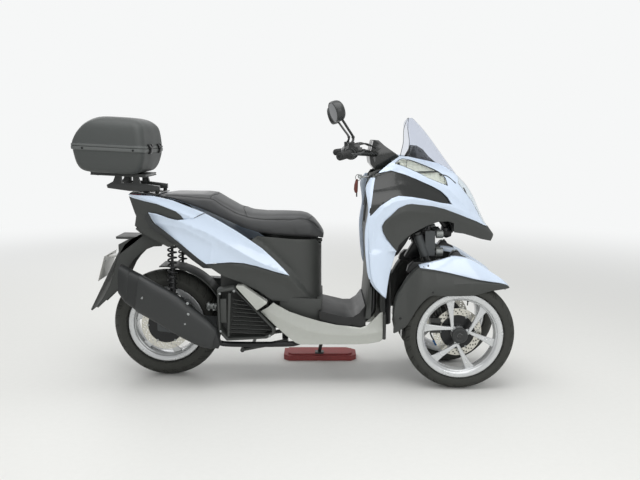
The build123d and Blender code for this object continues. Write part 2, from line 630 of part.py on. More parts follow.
def exhaust():
    """Silencer on the right with its pipe running forward under the engine."""
    outline = [(-770, 440), (-742, 552), (-713, 544), (-661, 517), (-551, 445), (-440, 372),
               (-383, 298), (-332, 200), (-427, 218), (-485, 255), (-568, 298), (-678, 372)]
    shape = across(outline, -SILENCER_Y[1], -SILENCER_Y[0], radius=12)
    middle = (SILENCER_Y[0] + SILENCER_Y[1]) / 2
    pipe = [(-372, -middle + 12, 228), (-300, -158, 192), (-20, -158, 192), (34, -120, 196),
            (34, -60, 206), (4, -30, 228), (4, -30, 296 - SEAT)]
    return shape + bent(pipe, 13, 18)


def rear_shocks():
    """Sprung damper on each side between the seat rail and the rear unit."""
    x_low, z_low = SHOCK_LOW
    x_top, z_top = SHOCK_TOP[0], SHOCK_TOP[1] - SHOCK_PIN_R - SEAT
    body = rod((x_low, SHOCK_Y, z_low + 32), (x_top, SHOCK_Y, z_top - 30), SHOCK_R)
    body += rod((x_low, SHOCK_Y, z_low + 14 + SEAT), (x_low, SHOCK_Y, z_low + 40), 11)
    return pair(body + rod((x_top, SHOCK_Y, z_top - 40), (x_top, SHOCK_Y, z_top), 11))


# ---- Stands ------------------------------------------------------------------------------------------
def side_stand():
    """Leg, boss and foot of the side stand, lowered onto the block."""
    x, y, z = SIDE_STAND_PIVOT
    foot = Vector(x - 24, y + 60, BLOCK_H + 8 + SEAT)
    shape = rod((x, y - 8, z), (x, y + 8, z), 17)
    shape += rod((x, y, z - 4), foot, 9)
    shape += block((foot.X - 22, foot.Y - 20, BLOCK_H + SEAT), (foot.X + 22, foot.Y + 20, BLOCK_H + SEAT + 8))
    return shape - bore((x, y - 20, z), (x, y + 20, z), 7 + RUN)


def centre_stand():
    """Folded centre stand: two legs, a cross tube and a foot lever."""
    x, z = CENTRE_STAND_PIVOT
    foot_x, foot_z = x - 192, z - 32
    shape = rod((foot_x + 40, -104, foot_z + 7), (foot_x + 40, 104, foot_z + 7), 8)
    for side in (-1, 1):
        shape += rod((x, 82 * side, z), (x, 102 * side, z), 16)
        shape += rod((x, 92 * side, z), (foot_x, 112 * side, foot_z), 10)
        shape += rod((foot_x - 4, 96 * side, foot_z), (foot_x - 4, 132 * side, foot_z), 10)
    shape += bent([(foot_x + 40, 60, foot_z + 7), (foot_x - 60, 70, foot_z), (foot_x - 105, 124, foot_z + 4)], 7, 20)
    return shape - bore((x, -120, z), (x, 120, z), 8 + RUN)


def stand_block():
    """Low steel block on the ground under the side stand's foot, its ends chamfered."""
    outline = [(-62, 318), (282, 318), (308, 292), (308, 210), (282, 184), (-36, 184), (-62, 210)]
    base = upright(outline, 0, BLOCK_H - 8)
    inner = [(-40, 306), (262, 306), (286, 286), (286, 214), (264, 196), (-20, 196), (-40, 214)]
    return base + upright(inner, BLOCK_H - 9, BLOCK_H)


# ---- Front bodywork ------------------------------------------------------------------------------------
# Each level of the front cowl: height, nose, rear edge, half width at the rear edge.
COWL_LEVELS = [(600, 925, 335, 226), (700, 918, 335, 232), (780, 872, 335, 236), (860, 835, 345, 232),
               (950, 764, 357, 204), (1050, 690, 400, 178)]
# The same for the clear screen.
SCREEN_LEVELS = [(950, 762, 500, 160), (1005, 720, 505, 150), (1054, 683, 512, 138), (1103, 647, 520, 118),
                 (1166, 597, 517, 78), (1216, 548, 528, 14)]
COWL_RUN = (0.0, 0.06, 0.17, 0.33, 0.55, 0.78, 1.0)       # share of the length behind the nose
COWL_SPREAD = (0.0, 0.21, 0.38, 0.57, 0.78, 0.93, 1.0)    # share of the half width there


def nose_curve(nose, rear, half):
    """Plan points of a curve from the left rear edge round the nose to the right one."""
    right = [(nose - run * (nose - rear), -spread * half) for run, spread in zip(COWL_RUN, COWL_SPREAD)]
    return [(x, -y) for x, y in reversed(right)][:-1] + right


def cowl_curve(level, wall_in=0.0, back=0.0):
    """Closed plan outline of the cowl at one level, wall_in inside its outer face."""
    z, nose, rear, half = level
    points = nose_curve(nose, rear, half)
    if wall_in:
        points = inset(points, wall_in)
        points[0] = (points[0][0] - back, points[0][1])
        points[-1] = (points[-1][0] - back, points[-1][1])
    outer = Spline(*points)
    return Pos(0, 0, z) * make_face(outer + Line(outer @ 1, outer @ 0))


def cowl_inside(depth):
    """Space inside the cowl, depth in from its outer face and open to the back."""
    last = len(COWL_LEVELS) - 1
    levels = [(z + (i == last) - (i == 0), nose, rear, half)
              for i, (z, nose, rear, half) in enumerate(COWL_LEVELS)]
    return loft([cowl_curve(level, depth, 12) for level in levels])


def cowl_shell():
    """Hollow front body from chin to screen, open behind, below and on top."""
    return loft([cowl_curve(level) for level in COWL_LEVELS]) - cowl_inside(WALL)


# Side outlines that part the cowl into its panels, (x, z).
CHIN_TOP = [(893, 719), (836, 747), (755, 782), (681, 811), (625, 826), (527, 840), (504, 838),
            (467, 823), (437, 795), (407, 768), (394, 745), (398, 721), (415, 690), (439, 658), (462, 630)]
NOSE_PAINT = [(754, 921), (787, 880), (823, 838), (853, 788), (876, 737)]
LAMP = [(454, 1014), (488, 1004), (564, 971), (611, 946), (699, 912), (690, 945), (669, 968),
        (631, 988), (579, 1009), (529, 1027), (484, 1035)]
DARK_UPPER = [(357, 913), (357, 953), (370, 973), (435, 985), (495, 968), (552, 945), (628, 911),
              (665, 891), (697, 862), (715, 830), (658, 840), (590, 858), (527, 870), (466, 876),
              (436, 866), (386, 834), (345, 792), (300, 792), (300, 913)]
TOP_EDGE = [(340, 935), (385, 982), (405, 998), (436, 1021), (474, 1047), (513, 1045), (583, 1030),
            (658, 1013), (706, 991), (761, 956)]
CHIN_LOW = [(935, 700), (930, 676), (917, 652), (860, 667), (815, 683), (774, 696), (729, 704),
            (726, 745), (698, 755), (655, 756), (627, 749), (591, 737), (563, 724), (530, 707),
            (500, 687), (470, 658)]


def cowl_cut(shell, outline):
    """Part of the cowl inside a side outline, on both sides."""
    return shell & across(outline, -400, 400)


def front_cowl(shell):
    """Painted band from the nose over the sides down to the leg shield."""
    outline = [(300, 630)] + CHIN_TOP[::-1] + NOSE_PAINT[::-1] + TOP_EDGE[::-1] + [(300, 900)]
    shape = cowl_cut(shell, outline)
    return [s for s in (shape - across(LAMP, -400, 400) - across(DARK_UPPER, -400, 400)).solids()
            if s.volume > 500]


def cowl_side_panels(shell):
    """Dark recessed panel on each side above the painted band."""
    return cowl_cut(shell, DARK_UPPER).solids()


def headlamp(shell):
    """Clear lens that wraps round the nose."""
    return cowl_cut(shell, NOSE_PAINT + [(893, 719), (960, 719), (960, 960), (761, 956)]).solids()


def position_lamps(shell):
    """Slim clear lamp along the cowl's top edge on each side."""
    return cowl_cut(shell, LAMP).solids()


def front_undercowl(shell):
    """Dark chin below the painted band."""
    return cowl_cut(shell, CHIN_TOP + CHIN_LOW[::-1] + [(960, 652), (960, 719)]).solids()


def leg_shield():
    """Painted wing in front of each of the rider's legs, below the cowl."""
    outline = [(462, 630), (446, 573), (433, 530), (424, 476), (417, 419), (390, 446), (366, 480),
               (352, 505), (346, 539), (341, 588), (336, 630)]
    plan = [(330, -SHIELD_HALF + 4), (380, -228), (430, -206), (466, -186)]
    wing = wall([(x, -y) for x, y in plan][::-1], WALL, 400, 632)
    wing = wing & across(outline, 100, 300)
    return pair(wing)


def windscreen():
    """Curved clear screen, thin and swept back, its foot on the instrument deck."""
    sections = []
    for z, nose, rear, half in SCREEN_LEVELS:
        points = nose_curve(nose, rear, half)
        outer, inner = Spline(*points), Spline(*inset(points, SHEET))
        ends = Line(outer @ 0, inner @ 0) + Line(outer @ 1, inner @ 1)
        sections.append(Pos(0, 0, z) * make_face(outer + inner + ends))
    above = [(x, z + SEAT) for x, z in TOP_EDGE[4:]] + [(SCREEN_LEVELS[0][1] + 9, 950), (800, 1300), (400, 1300)]
    return loft(sections) & across(above, -200, 200)


def instrument_panel(inside):
    """Dark deck with the raised dial housing behind the screen."""
    deck = block((DECK_BACK_X, -200, DECK_Z - 6), (760, 200, DECK_Z)) & inside
    post = across([(520, DECK_Z), (610, DECK_Z), (628, 1000), (560, 1036), (520, 1026)], -66, 66, radius=6)
    return deck + post


def inner_leg_shield():
    """Dark panel that faces the rider, with an open pocket on the left."""
    sheet = across([(338, 372), (341, 372), (347, 560), (338, 700), (348, 800), (368, 953), (420, 974),
                    (420, 978), (364, 956), (344, 800), (334, 700), (343, 560)], -260, 260)
    half = [(level[3] - WALL - SHIELD_EDGE, level[0]) for level in COWL_LEVELS[1:5]]
    edge = [(226, 370), (226, SHIELD_JOIN_Z - SEAT), (221, SHIELD_JOIN_Z - SEAT)] + half + SHIELD_TOP
    front = make_face(Plane.YZ * closed(edge + [(-y, z) for y, z in reversed(edge)]))
    shape = sheet & (Pos(300, 0, 0) * extrude(front, amount=200, dir=(1, 0, 0)))
    (x0, y0, z0), (x1, y1, z1) = POCKET
    ahead = across([(336, 700), (346, 800), (366, 956), (480, 956), (480, 700)], y0 - 20, y1 + 20)
    shape += ahead & block((x0 - 20, y0 - SHEET, z0 - SHEET), (x1 + SHEET, y1 + SHEET, z1 + SHEET))
    return shape - block((x0 - 40, y0, z0), (x1, y1, z1))


def lower_front_cover():
    """Dark panel behind the front wheels that closes the shield's lower front."""
    outline = [(400, -146), (404, -60), (432, -22), (432, 22), (404, 60), (400, 146), (396, 146),
               (400, 58), (428, 20), (428, -20), (400, -58), (396, -146)]
    return upright(outline, 236, 560)


# ---- Rear bodywork -------------------------------------------------------------------------------------
TAIL_PLAN = [(-760, 66), (-700, 104), (-600, 140), (-480, 164), (-330, 175), (-150, 172), (20, 158)]
WING_LOW = [(-732, 858), (-668, 845), (-606, 834), (-552, 815), (-519, 803), (-497, 786), (-483, 767),
            (-440, 774)]
SIDE_EDGE = [(-388, 796), (-317, 757), (-244, 713), (-189, 675), (-137, 638), (-77, 581), (-38, 541),
             (-14, 514)]


def tail_wall(thickness=WALL):
    """Upright sheet along the left side of the tail."""
    return wall(TAIL_PLAN, thickness, 480, 900)


def side_panels():
    """Painted panel on each side below the seat."""
    low = [(-14, 514), (-77, 532), (-156, 557), (-216, 571), (-276, 575), (-336, 571), (-388, 567),
           (-418, 588), (-501, 656), (-573, 712), (-620, 745), (-634, 767), (-647, 795), (-607, 790),
           (-553, 773), (-513, 764), (-483, 767), (-440, 774)]
    panel = tail_wall() & across(low + SIDE_EDGE[:-1], 0, 300)
    return pair(panel)


def grab_rails():
    """Painted rail on each side of the pillion seat."""
    outline = WING_LOW + [(-388, 796), (-464, 824), (-536, 851), (-620, 868), (-751, 872)]
    rail = tail_wall(14) & across(outline, 0, 300)
    return pair(rail)


def tail_cover():
    """Dark cover round the tail between the painted rails and panels."""
    outline = [(-748, 862)] + [(-732, 858), (-668, 845), (-606, 834), (-552, 815), (-519, 803),
               (-497, 786), (-483, 767), (-513, 764), (-553, 773), (-607, 790), (-647, 795), (-634, 767),
               (-620, 745), (-573, 712), (-501, 656), (-560, 640), (-679, 697), (-722, 730), (-712, 775)]
    side = tail_wall() & across(outline, 0, 300)
    plate = across([(-716, 716), (-700, 702), (-600, 640), (-594, 646), (-696, 712), (-712, 722)],
                   -104, 104)
    return pair(side) + [plate]


def tail_lamp():
    """Lamp across the back of the tail."""
    return across([(-756, 874), (LAMP_FRONT_X, 880), (LAMP_FRONT_X, 820), (-716, 820)], -46, 46, radius=6)


SEAT_BASE_PLAN = [(-388, 168), (-240, 166), (-80, 158), (30, 142), (92, 112), (122, 60), (130, 0)]


def seat_base_cover():
    """Dark cover below the seat that wraps round its front."""
    left = SEAT_BASE_PLAN
    plan = left + [(x, -y) for x, y in reversed(left[:-1])]
    shell = wall(plan, WALL, 330, 700)
    outline = [(-388, 561), (-317, 512), (-238, 483), (-158, 442), (-94, 397), (-66, 393), (63, 376),
               (118, 352), (140, 352), (140, 640), (122, 643), (100, 668.6), (3, 675.4), (-97, 685.4),
               (-157, 692), (-189, 671), (-137, 634), (-77, 577), (-38, 537), (-14, 510), (-77, 528), (-156, 553),
               (-216, 567), (-276, 571), (-336, 567)]
    return (shell & across(outline, -300, 300)).solids()


def storage_bin():
    """Open-topped bin below the seat."""
    (x0, y0, z0), (x1, y1, z1) = BIN
    shape = block((x0 - SHEET, y0 - SHEET, z0 - SHEET), (x1 + SHEET, y1 + SHEET, z1))
    shape -= block((x0, y0, z0), (x1, y1, z1 + 1))
    hinge_x, hinge_z = SEAT_HINGE
    for side in (-1, 1):
        shape += mirror_block((x1, 25, 610), (x1 + 12, 32, hinge_z + 4), side)
        shape += mirror_block((x1, 25, hinge_z - 6), (hinge_x, 32, hinge_z + 4), side)
    return shape + rod((hinge_x, -32, hinge_z), (hinge_x, 32, hinge_z), SEAT_PIN_R)


def rear_mudguard():
    """Curved guard over the tyre and the flap behind it."""
    guard_half = REAR_TYRE_W / 2 + 7
    tyre_guard = ring(REAR_AXLE_X, -guard_half, guard_half, REAR_TYRE_R, REAR_TYRE_R + 26, REAR_TYRE_R + 21)
    sector = [(REAR_AXLE_X, REAR_TYRE_R), (REAR_AXLE_X + 400, REAR_TYRE_R + 170),
              (REAR_AXLE_X + 200, REAR_TYRE_R + 500), (REAR_AXLE_X - 40, REAR_TYRE_R + 500)]
    front = tyre_guard & across(sector, -80, 80)
    front += block((-412, guard_half - 2, 436), (-396, AIR_BOX_Y - SEAT, 452))
    flap = across([(-687.6, 693.9), (-742, 668), (-806, 640), (-806, 606), (-867, 486), (-947, 333),
                   (-941, 328), (-861, 482), (-800, 596), (-724, 654), (-683.5, 687.8)], -74, 74)
    return [front, flap]


def number_plate():
    """Blank plate behind the flap, with its bracket."""
    low, high = Vector(-900, 0, 474), Vector(-866, 0, 590)
    plate = across([(low.X, low.Z), (high.X, high.Z), (high.X + 2, high.Z - 1), (low.X + 2, low.Z - 1)],
                   -100, 100)
    bracket = block((-869, -30, 574), (-822.6, 30, 582))
    return plate + bracket


def seat():
    """Long two-level seat, narrower at its nose."""
    outline = [(140, 690), (123, 727), (94, 761), (65, 780), (-44, 786), (-128, 786), (-190, 792),
               (-253, 811), (-314, 845), (-359, 874), (-459, 878), (-600, 878), (-600, 858),
               (-540, 850), (-467, 826), (-397, 800), (-320, 763), (-231, 721), (-157, 697),
               (-97, 686), (3, 676), (115, 668), (140, 655)]
    plan = [(-600, -118), (-460, -142), (-300, -150), (-140, -142), (20, -118), (140, -70),
            (140, 70), (20, 118), (-140, 142), (-300, 150), (-460, 142), (-600, 118)]
    shape = across(outline, -SEAT_HALF, SEAT_HALF) & upright(plan, 600, 900, radius=20)
    x, z = SEAT_HINGE
    shape -= block((x - 26, -38, z - 12), (x + 20, 38, z + 11))
    lug = rod((x, -22, z), (x, 22, z), SEAT_PIN_R + 4) + block((x - 6, -22, z), (x + 6, 22, z + 24))
    return shape + lug - bore((x, -40, z), (x, 40, z), SEAT_PIN_R + RUN)


# ---- Floor ---------------------------------------------------------------------------------------------
SKIRT_PLAN = [(-160, 168), (-60, 186), (80, SKIRT_HALF), (240, SKIRT_HALF), (360, 182), (432, 160)]


def floorboard():
    """Step-through floor, turned up at its front."""
    shape = across([(118, 345), (233, FLOOR_Z), (276, FLOOR_Z), (305, 337), (332, 372), (326, 376),
                    (302, 344), (274, FLOOR_Z + 8), (236, FLOOR_Z + 8), (122, 352)], -FLOOR_HALF, FLOOR_HALF)
    flange = across([(120, 347), (120, 296), (300, 262), (330, 280), (330, 372), (303, 340), (275, FLOOR_Z + 4),
                     (235, FLOOR_Z + 4)], FLOOR_HALF - WALL, FLOOR_HALF)
    flange += block((230, FLOOR_HALF - 1, 268), (250, SKIRT_HALF - WALL - SEAT, 280))
    return shape + flange + other_side(flange)


def floor_skirts():
    """Silver skirt along each side of the floor and the pillion step behind it."""
    outline = [(-88, 391), (-17, 352), (54, 327), (126, 306), (198, 290), (258, 284), (307, 277),
               (339, 288), (371, 319), (396, 342), (SKIRT_FRONT_X, 344), (SKIRT_FRONT_X, 216), (396, 208), (339, 201),
               (217, 199), (33, 199), (12, 207), (-33, 243), (-90, 295), (-147, 350), (-110, 372)]
    skirt = wall(SKIRT_PLAN, WALL, 190, 420) & across(outline, 100, 300)
    step = across([(-257, 474), (-221, 474), (-110, 397), (-160, 362)], 165.6, 206, radius=5)
    return pair(skirt) + pair(step)


# ---- Luggage -------------------------------------------------------------------------------------------
def tilted(shape):
    """A piece of the top box, leaned forwards about its hinge line."""
    x, z = BOX_HINGE
    return Pos(x, 0, z) * Rot(0, BOX_TILT, 0) * shape


def box_plan(z, rear, front, side, shrink=0.0):
    """Rounded plan of the top box at one level, its rear face bowed."""
    x_rear, x_front, half = -BOX_LENGTH + rear + shrink, -front - shrink, BOX_HALF - side - shrink
    points = [(x_rear + BOX_BULGE, -half), (x_front, -half), (x_front, half), (x_rear + BOX_BULGE, half),
              (x_rear, half * 0.35), (x_rear, -half * 0.35)]
    return Pos(0, 0, z) * make_face(closed(points, BOX_CORNER))


def box_shell(levels):
    """Hollow half of the top box, open at its level nearest the belt."""
    belt = min(levels, key=lambda level: abs(level[0]))
    outer = loft([box_plan(*level) for level in levels], ruled=True)
    inner = []
    for z, *draws in levels:
        if (z, *draws) == belt:
            z -= 1 if belt is levels[0] else -1
        elif z in (levels[0][0], levels[-1][0]):
            z += WALL if z < 0 else -WALL
        inner.append(box_plan(z, *draws, WALL))
    return outer - loft(inner, ruled=True)


def top_box_base():
    """Hollow lower half of the top box."""
    shape = box_shell(BASE_LEVELS)
    for y in (-90, 90):
        shape += block((-3, y - 14, -20), (BOX_KNUCKLE[0] + 4, y + 14, -1))
        shape += block((SEAT, y - 14, -20), (BOX_KNUCKLE[0] + 4, y + 14, BOX_KNUCKLE[1]))
        shape += rod((BOX_KNUCKLE[0], y - 30, BOX_KNUCKLE[1]), (BOX_KNUCKLE[0], y + 30, BOX_KNUCKLE[1]), 2.5)
    return tilted(shape)


def top_box_lid():
    """Hollow domed lid of the top box."""
    shape = box_shell(LID_LEVELS)
    for y in (-90, 90):
        for y_low in (y - 32, y + 14 + SEAT):
            y_high = y_low + 18 - SEAT
            shape += rod((BOX_KNUCKLE[0], y_low, BOX_KNUCKLE[1]), (BOX_KNUCKLE[0], y_high, BOX_KNUCKLE[1]), 5)
            shape += block((-6, y_low, BOX_KNUCKLE[1] - 2), (BOX_KNUCKLE[0], y_high, BOX_KNUCKLE[1] + 14))
        shape -= bore((BOX_KNUCKLE[0], y - 40, BOX_KNUCKLE[1]), (BOX_KNUCKLE[0], y + 40, BOX_KNUCKLE[1]),
                      2.5 + RUN)
    return tilted(shape)


def luggage_carrier():
    """Adaptor plate of the top box and the rack that carries it on the tail."""
    bottom = BASE_LEVELS[0][0]
    shape = tilted(block((BOX_PLATE[0], -104, bottom - 14), (BOX_PLATE[1], 104, bottom - SEAT)))
    for side in (-1, 1):
        rack = [(-842, 916), (-838, 902), (-740, 888), (-604, 888), (-604, 910), (-690, 922),
                (-700, 956), (-722, 957), (-722, 925), (-775, 925), (-775, 961), (-800, 962), (-812, 932)]
        y_low, y_high = sorted(((RAIL_END_Y - 10) * side, (RAIL_END_Y + 10) * side))
        shape += across(rack, y_low, y_high)
        foot = (-616, RAIL_END_Y * side, POST_FOOT_Z + SEAT)
        shape += rod(foot, (-616, RAIL_END_Y * side, 896), 9)
    return shape + block((-760, -RAIL_END_Y, 890), (-720, RAIL_END_Y, 900))


# ---- Nodes ---------------------------------------------------------------------------------------------
def build():
    """Every sub-part by name, each as a list of its solids."""
    shell, inside = cowl_shell(), cowl_inside(WALL + SEAT)
    front_tyre, front_rim, front_disc = front_wheel_parts()
    rear_tyre, rear_rim, rear_disc = rear_wheel_parts()
    left = {
        "side_link": side_link(), "fork": fork(), "front_fender": front_fender(),
        "front_tyre": front_tyre, "front_rim": front_rim, "front_disc": front_disc,
    }
    nodes = {
        "frame": frame(), "engine": engine(), "drive_case": drive_case(), "rear_arm": rear_arm(),
        "radiator_cover": radiator_cover(), "exhaust": exhaust(), "rear_shocks": rear_shocks(),
        "rear_mudguard": rear_mudguard(), "number_plate": number_plate(),
        "storage_bin": storage_bin(), "seat_base_cover": seat_base_cover(),
        "side_panels": side_panels(), "grab_rails": grab_rails(), "tail_cover": tail_cover(),
        "tail_lamp": tail_lamp(), "floorboard": floorboard(), "floor_skirts": floor_skirts(),
        "front_cowl": front_cowl(shell), "cowl_side_panels": cowl_side_panels(shell),
        "front_undercowl": front_undercowl(shell), "headlamp": headlamp(shell),
        "position_lamps": position_lamps(shell), "leg_shield": leg_shield(),
        "windscreen": windscreen(), "instrument_panel": instrument_panel(inside),
        "inner_leg_shield": inner_leg_shield(), "lower_front_cover": lower_front_cover(),
        "luggage_carrier": luggage_carrier(), "top_box_base": top_box_base(),
        "stand_block": stand_block(), "seat": seat(), "top_box_lid": top_box_lid(),
        "handlebar": handlebar(), "handlebar_cover": handlebar_cover(), "grips": grips(),
        "brake_levers": levers(), "mirrors": mirrors(), "rod_swivel": rod_swivel(),
        "track_rod": track_rod(), "upper_arm": leaning_arm(UPPER_ARM_Z),
        "lower_arm": leaning_arm(LOWER_ARM_Z), "side_stand": side_stand(),
        "centre_stand": centre_stand(), "rear_tyre": rear_tyre, "rear_rim": rear_rim,
        "rear_disc": rear_disc,
    }
    for name, shape in left.items():
        nodes[name + "_left"] = shape
        nodes[name + "_right"] = other_side(shape)
    return nodes


def solids_of(shape):
    """Flat list of a node's solids."""
    pieces = shape if isinstance(shape, (list, tuple)) else [shape]
    return [solid for piece in pieces for solid in piece.solids()]


def main():
    """Write one STEP file for each node."""
    os.makedirs("parts", exist_ok=True)
    for name, shape in build().items():
        solids = solids_of(shape)
        export_step(Compound(solids) if len(solids) > 1 else solids[0], f"parts/{name}.step")


main()
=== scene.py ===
"""Looks of a three-wheel leaning motor scooter: finishes, moulded details and the studio round it.

Sizes in the classes are millimetres in the scooter's frame: +X forwards, +Y to the rider's left, +Z up.
"""

import logging
import math
from dataclasses import dataclass
from enum import Enum
from typing import Iterable, Sequence

import bmesh
import bpy
from mathutils import Matrix, Vector
from mathutils.bvhtree import BVHTree
from mathutils.kdtree import KDTree


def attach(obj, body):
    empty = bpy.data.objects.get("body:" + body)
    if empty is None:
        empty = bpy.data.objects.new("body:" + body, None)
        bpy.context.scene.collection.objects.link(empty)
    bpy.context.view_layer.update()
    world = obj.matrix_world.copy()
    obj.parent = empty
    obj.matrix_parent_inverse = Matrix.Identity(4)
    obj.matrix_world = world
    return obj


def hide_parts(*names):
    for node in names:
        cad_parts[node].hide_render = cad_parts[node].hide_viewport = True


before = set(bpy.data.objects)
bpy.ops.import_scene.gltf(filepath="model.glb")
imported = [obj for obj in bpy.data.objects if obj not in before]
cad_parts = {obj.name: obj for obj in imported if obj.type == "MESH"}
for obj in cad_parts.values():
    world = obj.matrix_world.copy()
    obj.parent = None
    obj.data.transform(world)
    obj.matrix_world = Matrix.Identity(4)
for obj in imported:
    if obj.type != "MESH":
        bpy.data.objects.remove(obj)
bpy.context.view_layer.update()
LOG = logging.getLogger("scooter")
MM = 0.001
RAY_START = 400                 # millimetres to the left, outside every panel
CUT_DIST = 1e-6                 # metres within which a cut runs through a corner
MERGE_DIST = 0.004              # millimetres within which a CAD node's corners are one
FLAT = 1.2                      # degrees by which faces may differ and still count as one flat area
Point = Sequence[float]
Socket = bpy.types.NodeSocket
Piece = bpy.types.Object


# ---- Nodes ---------------------------------------------------------------------------------------
def add(tree: bpy.types.NodeTree, kind: str, links: dict | None = None,
        **settings: object) -> bpy.types.Node:
    """Add a node, set its options and fill or join its inputs.

    Args:
        tree: Node tree that gets the node.
        kind: Class name of the node.
        links: Input name or number to a value or to another node's output.
        settings: Options of the node itself.

    Returns:
        The new node.
    """
    node = tree.nodes.new(kind)
    for name, value in settings.items():
        setattr(node, name, value)
    for key, value in (links or {}).items():
        if isinstance(value, Socket):
            tree.links.new(value, node.inputs[key])
        else:
            node.inputs[key].default_value = value
    return node


def linear(code: str) -> tuple[float, float, float, float]:
    """Linear colour of an sRGB hex code."""
    parts = [int(code[i:i + 2], 16) / 255 for i in (1, 3, 5)]
    curve = [c / 12.92 if c <= 0.04045 else ((c + 0.055) / 1.055) ** 2.4 for c in parts]
    return (*curve, 1.0)


CLOUDS = 9.0                    # patches of tone to a metre
ROUGH_DRIFT = 0.12              # share by which the roughness wanders
EDGE_RADIUS = 1.6               # millimetres by which shading softens every edge


class Surface(Enum):
    """How a surface was made, which sets its fine pattern."""

    SPRAYED = "sprayed"
    GRAINED = "moulded in a grained tool"
    CAST = "cast in sand"
    GROUND = "ground or turned"
    RUBBER = "cured in a mould"
    VINYL = "embossed"
    CLEAR = "polished clear"


@dataclass(frozen=True)
class Finish:
    """One finish: what the surface is, its colour and the size of its pattern."""

    name: str
    colour: str
    surface: Surface
    roughness: float
    slot: str
    metallic: float = 0.0
    ior: float = 1.5
    coat: float = 0.0
    pattern: float = 6.0       # millimetres across one grain, drawn coarse enough to show
    depth: float = 0.08        # millimetres
    drift: float = 0.06        # share by which the colour wanders
    clear: float = 0.0
    sheen: float = 0.0

    def tint(self, share: float) -> tuple[float, ...]:
        """The colour, made lighter by a share or darker where it is negative."""
        return tuple(min(1.0, c * (1 + share)) for c in linear(self.colour)[:3]) + (1.0,)

    def material(self) -> bpy.types.Material:
        """Node material of this finish, made once."""
        found = bpy.data.materials.get(self.name)
        if found:
            return found
        material = bpy.data.materials.new(self.name)
        material.use_nodes = True
        tree = material.node_tree
        tree.nodes.clear()
        coord = add(tree, "ShaderNodeTexCoord").outputs["Object"]
        height = self.height(tree, coord)
        cloud = add(tree, "ShaderNodeTexNoise", {"Vector": coord, "Scale": CLOUDS, "Detail": 4.0})
        mottle = add(tree, "ShaderNodeMath", {0: cloud.outputs["Fac"], 1: height}, operation="ADD")
        mixing = add(tree, "ShaderNodeMapRange",
                     {"Value": mottle.outputs[0], "From Min": 0.6, "From Max": 1.4})
        tone = add(tree, "ShaderNodeMix", {0: mixing.outputs[0], 6: self.tint(-self.drift),
                                           7: self.tint(self.drift)}, data_type="RGBA")
        rough = add(tree, "ShaderNodeMapRange",
                    {"Value": cloud.outputs["Fac"], "From Min": 0.3, "From Max": 0.7,
                     "To Min": self.roughness * (1 - ROUGH_DRIFT),
                     "To Max": min(1.0, self.roughness * (1 + ROUGH_DRIFT))})
        rounded = add(tree, "ShaderNodeBevel", {"Radius": EDGE_RADIUS * MM}, samples=3)
        bump = add(tree, "ShaderNodeBump", {"Height": height, "Strength": 0.6, "Distance": self.depth * MM,
                                            "Normal": rounded.outputs[0]})
        shader = add(tree, "ShaderNodeBsdfPrincipled", {
            "Base Color": tone.outputs[2], "Roughness": rough.outputs[0], "Metallic": self.metallic,
            "Coat Weight": self.coat, "Coat Roughness": 0.05, "Normal": bump.outputs[0],
            "Transmission Weight": self.clear, "Sheen Weight": self.sheen, "Sheen Roughness": 0.5})
        if not self.metallic:
            shader.inputs["IOR"].default_value = self.ior
        add(tree, "ShaderNodeOutputMaterial", {"Surface": shader.outputs[0]})
        return material

    def height(self, tree: bpy.types.NodeTree, coord: Socket) -> Socket:
        """Height pattern of the surface, as a socket from 0 to 1."""
        scale = 1 / (self.pattern * MM)
        if self.surface is Surface.VINYL:
            cells = add(tree, "ShaderNodeTexVoronoi", {"Vector": coord, "Scale": scale}, feature="F2")
            return cells.outputs["Distance"]
        if self.surface is Surface.GROUND:
            squeeze = add(tree, "ShaderNodeMapping", {"Vector": coord, "Scale": (1.0, 0.08, 1.0)})
            coord = squeeze.outputs[0]
        detail = {Surface.CAST: 6.0, Surface.GRAINED: 4.0, Surface.RUBBER: 5.0}.get(self.surface, 2.0)
        noise = add(tree, "ShaderNodeTexNoise", {"Vector": coord, "Scale": scale, "Detail": detail})
        return noise.outputs["Fac"]


# Pearl lacquer over moulded ABS: deep gloss with a faint drift of blue.
PAINT = Finish("pearl_lacquer_on_ABS", "#D3E1F3", Surface.SPRAYED, 0.24, "pale_blue_paint", coat=0.9,
               pattern=22, depth=0.012, drift=0.008)
# Silver lacquer: fine flake, a satin highlight.
SILVER = Finish("silver_lacquer_on_ABS", "#B6B8B2", Surface.SPRAYED, 0.32, "silver_paint", metallic=0.35,
                coat=0.5, pattern=14, depth=0.02, drift=0.03)
# Unpainted ABS from a grained tool: dull, the light breaks up over it.
DARK_ABS = Finish("grained_black_ABS", "#3B3D3B", Surface.GRAINED, 0.52, "dark_plastic", pattern=5,
                  depth=0.14)
# Heat shields: the same plastic in a deeper black.
SHIELD_ABS = Finish("deep_black_ABS", "#2C2E2E", Surface.GRAINED, 0.46, "dark_plastic", pattern=5,
                    depth=0.12)
# The same plastic from a polished tool: sharper highlights.
GLOSS_ABS = Finish("polished_black_ABS", "#222423", Surface.SPRAYED, 0.2, "dark_plastic", coat=0.3,
                   pattern=20, depth=0.02)
# Polypropylene of luggage boxes: greyer, with a coarse leather-like grain.
BOX_PP = Finish("grained_polypropylene", "#454847", Surface.GRAINED, 0.56, "box_grey", pattern=6, depth=0.2)
# The box's belt: the same plastic, drawn paler along the lip as a painted highlight.
LIP_PP = Finish("polypropylene_lip_painted_highlight", "#5D605F", Surface.GRAINED, 0.5, "box_grey", pattern=6,
                depth=0.15)
# Clear polycarbonate of the lamps: bright, slightly cool.
LENS = Finish("clear_polycarbonate", "#F2F7FA", Surface.CLEAR, 0.04, "clear_lens", ior=1.35, clear=1.0,
              pattern=30, depth=0.01, drift=0.0)
